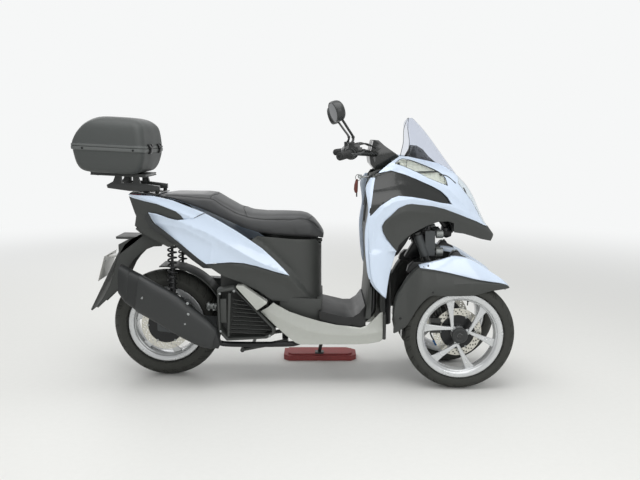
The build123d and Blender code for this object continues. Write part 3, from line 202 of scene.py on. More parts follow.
# Tinted acrylic of the screen: grey-blue, glossy on both faces.
TINTED = Finish("tinted_acrylic_sheet", "#E9ECF3", Surface.CLEAR, 0.03, "screen", ior=1.16, clear=1.0,
                pattern=30, depth=0.01, drift=0.02)
# Red acrylic of the tail lamp.
RED_LENS = Finish("red_acrylic_lens", "#B01218", Surface.SPRAYED, 0.1, "red_lens", coat=1.0, pattern=18,
                  depth=0.02)
# Chromed reflectors behind the lenses.
CHROME = Finish("vacuum_metallised_reflector", "#E8EAEC", Surface.SPRAYED, 0.12, "clear_lens", metallic=1.0,
                pattern=18, depth=0.02, drift=0.02)
# Tube frame and stands: baked enamel over welded steel.
ENAMEL = Finish("baked_black_enamel", "#202221", Surface.SPRAYED, 0.34, "frame_black", coat=0.3, pattern=16,
                depth=0.04)
# Wheels: cast aluminium under bright silver paint, with soft grain.
WHEEL_ALLOY = Finish("painted_cast_aluminium", "#CDCFD0", Surface.CAST, 0.27, "cast_alloy", metallic=0.62,
                     coat=0.3, pattern=7, depth=0.05, drift=0.03)
# Bare sand-cast aluminium of the arms.
CAST_ALLOY = Finish("sand_cast_aluminium", "#8A8D8B", Surface.CAST, 0.5, "cast_alloy", metallic=0.75,
                    pattern=4, depth=0.25, drift=0.1)
# Engine and drive cases: die-cast aluminium under dark grey paint.
CASE_ALLOY = Finish("grey_painted_die_casting", "#4C4F50", Surface.CAST, 0.45, "grey_alloy", metallic=0.4,
                    pattern=4, depth=0.25, drift=0.1)
# Tyres: carbon-black rubber, dull with a dusty bloom.
TYRE = Finish("tyre_rubber", "#333430", Surface.RUBBER, 0.78, "tyre", pattern=5, depth=0.12, drift=0.14)
# Moulded grips, mat and boots: softer rubber with a little shine.
RUBBER = Finish("moulded_rubber", "#242524", Surface.RUBBER, 0.6, "rubber", pattern=4, depth=0.1)
# Floor mat and cowl insets: deep black moulding with a soft shine.
MAT_BLACK = Finish("deep_black_floor_mat", "#171818", Surface.RUBBER, 0.4, "rubber", pattern=5, depth=0.08)
# Brake discs: ground stainless steel, warm and streaked round the wheel.
DISC_STEEL = Finish("ground_stainless_steel", "#CFCDC4", Surface.GROUND, 0.28, "disc_steel", metallic=0.9,
                    pattern=3, depth=0.05, drift=0.08)
# Turned shafts, bolts and levers.
BRIGHT_STEEL = Finish("zinc_plated_steel", "#A9ACAC", Surface.GROUND, 0.3, "steel", metallic=0.95, pattern=3,
                      depth=0.04, drift=0.08)
# Springs and small black hardware.
BLACK_STEEL = Finish("black_oxide_steel", "#1E1F20", Surface.SPRAYED, 0.3, "frame_black", metallic=0.3,
                     pattern=6, depth=0.04)
# Seat cover: embossed PVC on foam, a soft sheen along its crowns.
VINYL = Finish("embossed_PVC_cover", "#3C3D3E", Surface.VINYL, 0.44, "seat_cover", pattern=5, depth=0.25,
               sheen=0.15)
# Silencer: matt heat-proof paint over pressed steel.
HEAT_BLACK = Finish("heat_proof_black_paint", "#232525", Surface.GRAINED, 0.5, "silencer_black",
                    metallic=0.1, pattern=5, depth=0.1)
# Stand block: worn red paint on steel plate.
RED_STEEL = Finish("worn_red_paint_on_steel", "#93403F", Surface.GRAINED, 0.55, "red_steel", pattern=9,
                   depth=0.2, drift=0.2)
# Blank licence plate: white enamel on sheet aluminium.
PLATE_WHITE = Finish("white_enamelled_sheet", "#DDDDD8", Surface.SPRAYED, 0.35, "plate_white", coat=0.3,
                     pattern=20, depth=0.03, drift=0.02)
# Reflectors of the position lamps: cream-white moulding behind the lens.
LAMP_CREAM = Finish("cream_reflector_moulding", "#F4F0DE", Surface.SPRAYED, 0.3, "clear_lens", coat=0.5,
                    pattern=12, depth=0.02, drift=0.02)
# Key fob: brown-red leather, worn at its edges.
FOB_LEATHER = Finish("brown_red_leather", "#6E3A32", Surface.VINYL, 0.6, "rubber", pattern=3, depth=0.2,
                     drift=0.15)
# Hose clips and fittings in blue anodised alloy.
BLUE_FITTING = Finish("blue_anodised_fitting", "#3E6FA8", Surface.GROUND, 0.3, "steel", metallic=0.7,
                      pattern=3, depth=0.03)
# Mirror glass: first-surface silvering, its colour darkened to near black as a painted dark reflection.
MIRROR_GLASS = Finish("silvered_mirror_glass", "#303437", Surface.SPRAYED, 0.03, "mirror_black",
                      metallic=1.0, pattern=30, depth=0.005, drift=0.01)
# Mirror shells: satin black ABS.
MIRROR_SHELL = Finish("satin_black_ABS", "#303232", Surface.SPRAYED, 0.36, "mirror_black", pattern=10,
                      depth=0.04)


# ---- Meshes ----------------------------------------------------------------------------------------
class Shape:
    """Faces in millimetres that a piece is put together from."""

    def __init__(self) -> None:
        """Start with nothing."""
        self.points: list[Vector] = []
        self.faces: list[list[int]] = []

    def loft(self, rings: Sequence[Sequence[Point]], wrap: bool = True, cap: bool = True) -> "Shape":
        """Skin rings of equal count in order.

        Args:
            rings: Rings of points, each as long as the first.
            wrap: Whether a ring closes on itself.
            cap: Whether the first and last rings are filled.

        Returns:
            The shape itself.
        """
        start, n = len(self.points), len(rings[0])
        for ring in rings:
            self.points += [Vector(p) for p in ring]
        for i in range(len(rings) - 1):
            for j in range(n if wrap else n - 1):
                a, b = start + i * n + j, start + i * n + (j + 1) % n
                self.faces.append([a, b, b + n, a + n])
        if cap:
            self.faces.append([start + j for j in range(n)][::-1])
            last = start + (len(rings) - 1) * n
            self.faces.append([last + j for j in range(n)])
        return self

    def prism(self, outline: Sequence[Sequence[float]], low: float, high: float) -> "Shape":
        """Side outline of (x, z) points drawn across the scooter between two distances."""
        return self.loft([[(x, low, z) for x, z in outline], [(x, high, z) for x, z in outline]])

    def box(self, low: Point, high: Point) -> "Shape":
        """Block between two corners."""
        outline = [(low[0], low[2]), (high[0], low[2]), (high[0], high[2]), (low[0], high[2])]
        return self.prism(outline, low[1], high[1])

    def spun(self, profile: Sequence[Sequence[float]], start: Point, along: Point, count: int = 48,
             closed: bool = False) -> "Shape":
        """Turn a profile round an axis.

        Args:
            profile: (distance along the axis, radius) points.
            start: Point of the axis where the distance is nought.
            along: Direction of the axis.
            count: Faces round the axis.
            closed: Whether the profile itself closes, as a ring's does.

        Returns:
            The shape itself.
        """
        along = Vector(along).normalized()
        side = along.orthogonal().normalized()
        other = along.cross(side)
        rings = []
        for t, r in list(profile) + ([profile[0]] if closed else []):
            middle = Vector(start) + along * t
            rings.append([middle + (side * math.cos(a) + other * math.sin(a)) * max(r, 0.01)
                          for a in (2 * math.pi * k / count for k in range(count))])
        return self.loft(rings, cap=not closed)

    def rod(self, start: Point, end: Point, radius: float, count: int = 24, edge: float = 0.0) -> "Shape":
        """Round bar between two points, its ends eased by edge."""
        start, end = Vector(start), Vector(end)
        length = (end - start).length
        profile = [(0, radius - edge), (edge, radius), (length - edge, radius), (length, radius - edge)]
        return self.spun(profile, start, end - start, count)

    def ball(self, centre: Point, radii: Point, count: int = 24) -> "Shape":
        """Ellipsoid with half axes along X, Y and Z."""
        rings = []
        for i in range(count // 2 + 1):
            polar = math.pi * min(max(i / (count // 2), 0.004), 0.996)
            rings.append([(centre[0] + radii[0] * math.sin(polar) * math.cos(2 * math.pi * k / count),
                           centre[1] + radii[1] * math.sin(polar) * math.sin(2 * math.pi * k / count),
                           centre[2] + radii[2] * math.cos(polar)) for k in range(count)])
        return self.loft(rings)

    def both_sides(self) -> "Shape":
        """Add the mirror image on the scooter's other side."""
        n = len(self.points)
        self.points += [Vector((p.x, -p.y, p.z)) for p in self.points]
        self.faces += [[i + n for i in face][::-1] for face in self.faces]
        return self

    def build(self, name: str, doubles: float = 0.01) -> Piece:
        """Make the object, its doubles merged and its faces outwards."""
        mesh = bpy.data.meshes.new(name)
        mesh.from_pydata([p * MM for p in self.points], [], self.faces)
        work = bmesh.new()
        work.from_mesh(mesh)
        bmesh.ops.remove_doubles(work, verts=work.verts, dist=doubles * MM)
        bmesh.ops.recalc_face_normals(work, faces=work.faces)
        work.to_mesh(mesh)
        work.free()
        piece = bpy.data.objects.new(name, mesh)
        bpy.context.scene.collection.objects.link(piece)
        return piece

    def put(self, name: str, finish: Finish, body: str, *nodes: str, ease: float = 0.0, cuts: int = 2,
            sharp: float = 30.0, angle: float = 32.0) -> Piece:
        """Build the shape, round its edges, dress it and let it ride on a body.

        Args:
            name: Name of the piece.
            finish: Its surface.
            body: CAD body that it moves with.
            nodes: CAD nodes that it replaces.
            ease: Size of the rounded edges; nought leaves them as they are.
            cuts: Faces across a rounded edge.
            sharp: Edges sharper than this are rounded, in degrees.
            angle: Edges sharper than this stay sharp in the shading, in degrees.

        Returns:
            The piece.
        """
        piece = self.build(name)
        if ease:
            eased(piece, ease, cuts, sharp)
        return dress(piece, finish, body, *nodes, angle=angle)


def curve_through(points: Sequence[Point], steps: int = 6, closed: bool = False) -> list[Vector]:
    """Smooth points that pass through the given ones, steps to a span."""
    points = [Vector(p) for p in points]
    n = len(points)
    at = (lambda i: points[i % n]) if closed else (lambda i: points[min(max(i, 0), n - 1)])
    out = []
    for i in range(n if closed else n - 1):
        p0, p1, p2, p3 = at(i - 1), at(i), at(i + 1), at(i + 2)
        for k in range(steps):
            t = k / steps
            out.append(0.5 * ((2 * p1) + (p2 - p0) * t + (2 * p0 - 5 * p1 + 4 * p2 - p3) * t * t
                              + (3 * p1 - p0 - 3 * p2 + p3) * t ** 3))
    return out if closed else out + [points[-1]]


def rounded(corners: Sequence[Sequence[float]], radius: float, steps: int = 6) -> list[tuple[float, float]]:
    """Closed flat outline with each corner eased into steps points."""
    out = []
    n = len(corners)
    for i in range(n):
        before, corner, after = (Vector((*corners[(i + k) % n][:2], 0.0)) for k in (-1, 0, 1))
        back, ahead = before - corner, after - corner
        turn = math.pi - back.angle(ahead)
        cut = min(radius * math.tan(turn / 2), 0.48 * back.length, 0.48 * ahead.length)
        start, end = corner + back.normalized() * cut, corner + ahead.normalized() * cut
        for k in range(steps):
            t = k / (steps - 1)
            p = start * (1 - t) ** 2 + corner * 2 * t * (1 - t) + end * t * t
            out.append((p.x, p.y))
    return out


def level_at(line: Sequence[Sequence[float]], x: float) -> float:
    """Height of a polyline of (x, z) points at x, level beyond its ends."""
    line = sorted(line)
    if x <= line[0][0]:
        return line[0][1]
    for (x0, z0), (x1, z1) in zip(line, line[1:]):
        if x <= x1:
            return z0 + (z1 - z0) * (x - x0) / max(x1 - x0, 1e-9)
    return line[-1][1]


def set_mesh(piece: Piece, mesh: bpy.types.Mesh) -> None:
    """Give the piece a finished mesh and drop its modifiers."""
    piece.modifiers.clear()
    old = piece.data
    piece.data = mesh
    bpy.data.meshes.remove(old)


def bake(piece: Piece) -> Piece:
    """Turn the piece's modifiers into plain mesh."""
    graph = bpy.context.evaluated_depsgraph_get()
    set_mesh(piece, bpy.data.meshes.new_from_object(piece.evaluated_get(graph)))
    return piece


def eased(piece: Piece, width: float, segments: int = 2, angle: float = 30.0) -> Piece:
    """Round the piece's sharp edges by width."""
    bevel = piece.modifiers.new("edges", "BEVEL")
    bevel.width = width * MM
    bevel.segments = segments
    bevel.limit_method = "ANGLE"
    bevel.angle_limit = math.radians(angle)
    bevel.use_clamp_overlap = True
    return bake(piece)


def walled(piece: Piece, wall: float, offset: float = -1.0, even: bool = False) -> Piece:
    """Give a sheet its wall, as a modifier that is baked later.

    Args:
        piece: The sheet.
        wall: Thickness in millimetres.
        offset: Where the wall lies, from -1 inside the sheet to 1 outside it.
        even: Whether it keeps its thickness round sharp bends.

    Returns:
        The piece.
    """
    solid = piece.modifiers.new("wall", "SOLIDIFY")
    solid.thickness = wall * MM
    solid.offset = offset
    solid.use_even_offset = even
    return piece


def subdivided(piece: Piece, levels: int = 1) -> Piece:
    """Smooth the piece by subdivision."""
    modifier = piece.modifiers.new("smooth", "SUBSURF")
    modifier.levels = levels
    modifier.render_levels = levels
    return bake(piece)


def joined(name: str, pieces: Sequence[Piece]) -> Piece:
    """Put several plain meshes together as one piece."""
    work = bmesh.new()
    for piece in pieces:
        work.from_mesh(piece.data)
        bpy.data.objects.remove(piece)
    mesh = bpy.data.meshes.new(name)
    work.to_mesh(mesh)
    work.free()
    whole = bpy.data.objects.new(name, mesh)
    bpy.context.scene.collection.objects.link(whole)
    return whole


def dress(piece: Piece, finish: Finish, body: str, *nodes: str, angle: float = 32.0) -> Piece:
    """Finish a piece: material, smooth faces, the body it rides on and the nodes it stands for.

    Args:
        piece: The finished mesh.
        finish: Its surface.
        body: CAD body that it moves with.
        nodes: CAD nodes that it replaces.
        angle: Edges sharper than this stay sharp, in degrees.

    Returns:
        The piece.
    """
    mesh = piece.data
    mesh.materials.clear()
    mesh.materials.append(finish.material())
    mesh.polygons.foreach_set("material_index", [0] * len(mesh.polygons))
    mesh.shade_smooth()
    mesh.set_sharp_from_angle(angle=math.radians(angle))
    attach(piece, body)
    if nodes:
        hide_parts(*nodes)
    LOG.info("%s on %s: %d faces", piece.name, body, len(mesh.polygons))
    return piece


def paint_node(node: str, finish: Finish) -> None:
    """Give a CAD node that stays in view its finish."""
    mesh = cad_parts[node].data
    mesh.materials.clear()
    mesh.materials.append(finish.material())


def copy_of(node: str) -> bmesh.types.BMesh:
    """Merged copy of a CAD node's mesh with its flat areas whole."""
    work = bmesh.new()
    work.from_mesh(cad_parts[node].data)
    bmesh.ops.remove_doubles(work, verts=work.verts, dist=MERGE_DIST * MM)
    bmesh.ops.dissolve_limit(work, angle_limit=math.radians(FLAT), verts=work.verts, edges=work.edges)
    return work


def piece_of(work: bmesh.types.BMesh, name: str) -> Piece:
    """Object of a working mesh, which is freed."""
    mesh = bpy.data.meshes.new(name)
    work.to_mesh(mesh)
    work.free()
    piece = bpy.data.objects.new(name, mesh)
    bpy.context.scene.collection.objects.link(piece)
    return piece


def sliced(work: bmesh.types.BMesh, axis: int, step: float) -> None:
    """Cut a working mesh by planes square to an axis, step apart, so that it can bend."""
    values = [v.co[axis] for v in work.verts]
    normal = Vector((0, 0, 0))
    normal[axis] = 1
    for k in range(math.ceil(min(values) / (step * MM)), math.floor(max(values) / (step * MM)) + 1):
        geometry = [*work.verts, *work.edges, *work.faces]
        bmesh.ops.bisect_plane(work, geom=geometry, plane_co=normal * k * step * MM, plane_no=normal,
                               dist=CUT_DIST)


# ---- Geometry-node trees ----------------------------------------------------------------------------
class Tree(Enum):
    """Repeats that are made by geometry nodes."""

    RING = "ring_of_copies"
    PIPE = "pipe_along_path"
    COIL = "wound_spring"
    DISC = "drilled_disc"
    BOLTS = "bolts_on_points"


def new_tree(kind: Tree, inputs: dict[str, tuple[str, object]]) -> tuple[bpy.types.NodeTree, bpy.types.Node]:
    """Empty geometry tree with named inputs.

    Args:
        kind: Which repeat it is for.
        inputs: Input name to its socket type and value.

    Returns:
        The tree and its input node.
    """
    tree = bpy.data.node_groups.new(kind.value, "GeometryNodeTree")
    tree.interface.new_socket("Geometry", in_out="INPUT", socket_type="NodeSocketGeometry")
    for name, (socket, value) in inputs.items():
        item = tree.interface.new_socket(name, in_out="INPUT", socket_type=socket)
        if value is not None:
            item.default_value = value
    tree.interface.new_socket("Material", in_out="INPUT", socket_type="NodeSocketMaterial")
    tree.interface.new_socket("Geometry", in_out="OUTPUT", socket_type="NodeSocketGeometry")
    return tree, add(tree, "NodeGroupInput")


def close_tree(tree: bpy.types.NodeTree, source: bpy.types.Node, geometry: Socket,
               merge: float = 0.0) -> None:
    """End a tree: real meshes, doubles merged, material set."""
    real = add(tree, "GeometryNodeRealizeInstances", {"Geometry": geometry}).outputs[0]
    if merge:
        real = add(tree, "GeometryNodeMergeByDistance",
                   {"Geometry": real, "Distance": merge * MM}).outputs[0]
    done = add(tree, "GeometryNodeSetMaterial", {"Geometry": real, "Material": source.outputs["Material"]})
    add(tree, "NodeGroupOutput", {0: done.outputs[0]})


def ring_tree() -> bpy.types.NodeTree:
    """Copies of a sector turned round the Y axis and moved to a centre."""
    tree, source = new_tree(Tree.RING, {"Count": ("NodeSocketInt", 6), "Centre": ("NodeSocketVector", None)})
    line = add(tree, "GeometryNodeMeshLine", {"Count": source.outputs["Count"], "Offset": (0, 0, 0)})
    index = add(tree, "GeometryNodeInputIndex").outputs[0]
    turn = add(tree, "ShaderNodeMath", {0: index, 1: 2 * math.pi}, operation="MULTIPLY")
    share = add(tree, "ShaderNodeMath", {0: turn.outputs[0], 1: source.outputs["Count"]}, operation="DIVIDE")
    angles = add(tree, "ShaderNodeCombineXYZ", {"Y": share.outputs[0]})
    copies = add(tree, "GeometryNodeInstanceOnPoints", {"Points": line.outputs[0],
                                                       "Instance": source.outputs["Geometry"],
                                                       "Rotation": angles.outputs[0]})
    placed = add(tree, "GeometryNodeTranslateInstances", {"Instances": copies.outputs[0],
                                                          "Translation": source.outputs["Centre"],
                                                          "Local Space": False})
    close_tree(tree, source, placed.outputs[0], merge=0.02)
    return tree


def pipe_tree() -> bpy.types.NodeTree:
    """Round pipe along a chain of edges, eased through its corners."""
    tree, source = new_tree(Tree.PIPE, {"Radius": ("NodeSocketFloat", 0.01), "Sides": ("NodeSocketInt", 16)})
    path = add(tree, "GeometryNodeMeshToCurve", {0: source.outputs["Geometry"]})
    spline = add(tree, "GeometryNodeCurveSplineType", {"Curve": path.outputs[0]}, spline_type="CATMULL_ROM")
    fine = add(tree, "GeometryNodeSetSplineResolution", {0: spline.outputs[0], "Resolution": 6})
    ring = add(tree, "GeometryNodeCurvePrimitiveCircle", {"Resolution": source.outputs["Sides"],
                                                         "Radius": source.outputs["Radius"]})
    skin = add(tree, "GeometryNodeCurveToMesh", {"Curve": fine.outputs[0], "Profile Curve": ring.outputs[0],
                                                 "Fill Caps": True})
    close_tree(tree, source, skin.outputs[0])
    return tree


def coil_tree() -> bpy.types.NodeTree:
    """Spring wound round the line from a foot, leaning by a turn."""
    tree, source = new_tree(Tree.COIL,
                            {"Turns": ("NodeSocketFloat", 8.0), "Radius": ("NodeSocketFloat", 0.02),
                             "Height": ("NodeSocketFloat", 0.1), "Wire": ("NodeSocketFloat", 0.004),
                             "Foot": ("NodeSocketVector", None), "Lean": ("NodeSocketVector", None)})
    spiral = add(tree, "GeometryNodeCurveSpiral", {"Resolution": 28, "Rotations": source.outputs["Turns"],
                                                   "Start Radius": source.outputs["Radius"],
                                                   "End Radius": source.outputs["Radius"],
                                                   "Height": source.outputs["Height"]})
    ring = add(tree, "GeometryNodeCurvePrimitiveCircle",
               {"Resolution": 10, "Radius": source.outputs["Wire"]})
    skin = add(tree, "GeometryNodeCurveToMesh",
               {"Curve": spiral.outputs[0], "Profile Curve": ring.outputs[0],
                "Fill Caps": True})
    placed = add(tree, "GeometryNodeTransform",
                 {"Geometry": skin.outputs[0], "Translation": source.outputs["Foot"],
                  "Rotation": source.outputs["Lean"]})
    close_tree(tree, source, placed.outputs[0])
    return tree


def disc_tree() -> bpy.types.NodeTree:
    """Flat ring across the Y axis with rings of drilled holes."""
    tree, source = new_tree(Tree.DISC,
                            {"Outer": ("NodeSocketFloat", 0.1), "Inner": ("NodeSocketFloat", 0.08),
                             "Thick": ("NodeSocketFloat", 0.004), "Holes": ("NodeSocketInt", 24),
                             "Hole": ("NodeSocketFloat", 0.003), "Centre": ("NodeSocketVector", None)})
    edges = [add(tree, "GeometryNodeCurvePrimitiveCircle",
                 {"Resolution": 96, "Radius": source.outputs[name]})
             for name in ("Outer", "Inner")]
    holes = []
    band = add(tree, "ShaderNodeMath", {0: source.outputs["Outer"], 1: source.outputs["Inner"]},
               operation="SUBTRACT")
    for share, turn in ((0.26, 0.0), (0.52, 0.35), (0.76, 0.7)):
        reach = add(tree, "ShaderNodeMath", {0: band.outputs[0], 1: share, 2: source.outputs["Inner"]},
                    operation="MULTIPLY_ADD")
        circle = add(tree, "GeometryNodeCurvePrimitiveCircle", {"Resolution": source.outputs["Holes"],
                                                               "Radius": reach.outputs[0]})
        turned = add(tree, "GeometryNodeTransform", {"Geometry": circle.outputs[0],
                                                     "Rotation": (0, 0, turn * 2 * math.pi / 24)})
        hole = add(tree, "GeometryNodeCurvePrimitiveCircle",
                   {"Resolution": 10, "Radius": source.outputs["Hole"]})
        copies = add(tree, "GeometryNodeInstanceOnPoints", {"Points": turned.outputs[0],
                                                           "Instance": hole.outputs[0]})
        holes.append(add(tree, "GeometryNodeRealizeInstances", {"Geometry": copies.outputs[0]}))
    everything = add(tree, "GeometryNodeJoinGeometry")
    for node in [*edges, *holes]:
        tree.links.new(node.outputs[0], everything.inputs[0])
    face = add(tree, "GeometryNodeFillCurve", {"Curve": everything.outputs[0]})
    raised = add(tree, "GeometryNodeExtrudeMesh",
                 {"Mesh": face.outputs[0], "Offset Scale": source.outputs["Thick"],
                  "Individual": False})
    back = add(tree, "GeometryNodeFlipFaces", {"Mesh": face.outputs[0]})
    solid = add(tree, "GeometryNodeJoinGeometry")
    for node in (raised, back):
        tree.links.new(node.outputs[0], solid.inputs[0])
    upright = add(tree, "GeometryNodeTransform", {"Geometry": solid.outputs[0],
                                                  "Rotation": (math.pi / 2, 0, 0)})
    placed = add(tree, "GeometryNodeTransform", {"Geometry": upright.outputs[0],
                                                 "Translation": source.outputs["Centre"]})
    close_tree(tree, source, placed.outputs[0], merge=0.01)
    return tree


def bolt_tree() -> bpy.types.NodeTree:
    """Flanged hexagon bolts on points, each along the point's own aim."""
    tree, source = new_tree(Tree.BOLTS, {"Radius": ("NodeSocketFloat", 0.005)})
    aim = add(tree, "GeometryNodeInputNamedAttribute", {"Name": "aim"}, data_type="FLOAT_VECTOR")
    turn = add(tree, "FunctionNodeAlignRotationToVector", {"Vector": aim.outputs[0]}, axis="Z")
    parts = add(tree, "GeometryNodeJoinGeometry")
    for sides, wide, tall in ((18, 1.35, 0.5), (6, 1.0, 1.5), (18, 0.55, 1.75)):
        size = add(tree, "ShaderNodeMath", {0: source.outputs["Radius"], 1: wide}, operation="MULTIPLY")
        deep = add(tree, "ShaderNodeMath", {0: source.outputs["Radius"], 1: tall}, operation="MULTIPLY")
        barrel = add(tree, "GeometryNodeMeshCylinder", {"Vertices": sides, "Radius": size.outputs[0],
                                                       "Depth": deep.outputs[0]})
        tree.links.new(barrel.outputs[0], parts.inputs[0])
    copies = add(tree, "GeometryNodeInstanceOnPoints", {"Points": source.outputs["Geometry"],
                                                       "Instance": parts.outputs[0],
                                                       "Rotation": turn.outputs[0]})
    close_tree(tree, source, copies.outputs[0])
    return tree


TREES = {Tree.RING: ring_tree, Tree.PIPE: pipe_tree, Tree.COIL: coil_tree, Tree.DISC: disc_tree,
         Tree.BOLTS: bolt_tree}


def grown(piece: Piece, kind: Tree, finish: Finish, **values: object) -> Piece:
    """Run a geometry tree on a piece and keep the result as plain mesh.

    Args:
        piece: The source mesh.
        kind: Which tree.
        finish: Finish that the tree sets.
        values: Named inputs, lengths in metres.

    Returns:
        The piece with its new mesh.
    """
    tree = bpy.data.node_groups.get(kind.value) or TREES[kind]()
    modifier = piece.modifiers.new(kind.value, "NODES")
    modifier.node_group = tree
    sockets = {item.name: item.identifier for item in tree.interface.items_tree if item.in_out == "INPUT"}
    for name, value in {**values, "Material": finish.material()}.items():
        modifier[sockets[name]] = value
    return bake(piece)


def chain(name: str, points: Sequence[Point]) -> Piece:
    """Chain of edges through points, in millimetres."""
    mesh = bpy.data.meshes.new(name)
    mesh.from_pydata([Vector(p) * MM for p in points], [(i, i + 1) for i in range(len(points) - 1)], [])
    piece = bpy.data.objects.new(name, mesh)
    bpy.context.scene.collection.objects.link(piece)
    return piece


def pipe(name: str, points: Sequence[Point], radius: float, finish: Finish, sides: int = 16) -> Piece:
    """Round pipe through points, in millimetres."""
    return grown(chain(name, points), Tree.PIPE, finish, Radius=radius * MM, Sides=sides)


def tube(name: str, points: Sequence[Point], radius: float, finish: Finish, body: str = "chassis",
         sides: int = 16) -> Piece:
    """Round pipe through points, dressed and riding on a body."""
    return dress(pipe(name, points, radius, finish, sides), finish, body)


def bolts(name: str, places: Iterable[tuple[Point, Point]], radius: float, finish: Finish,
          body: str) -> Piece:
    """Bolts at places with their aims, all on one body."""
    places = list(places)
    mesh = bpy.data.meshes.new(name)
    mesh.from_pydata([Vector(p) * MM for p, _ in places], [], [])
    aim = mesh.attributes.new("aim", "FLOAT_VECTOR", "POINT")
    for item, (_, direction) in zip(aim.data, places):
        item.vector = Vector(direction).normalized()
    piece = bpy.data.objects.new(name, mesh)
    bpy.context.scene.collection.objects.link(piece)
    return dress(grown(piece, Tree.BOLTS, finish, Radius=radius * MM), finish, body)


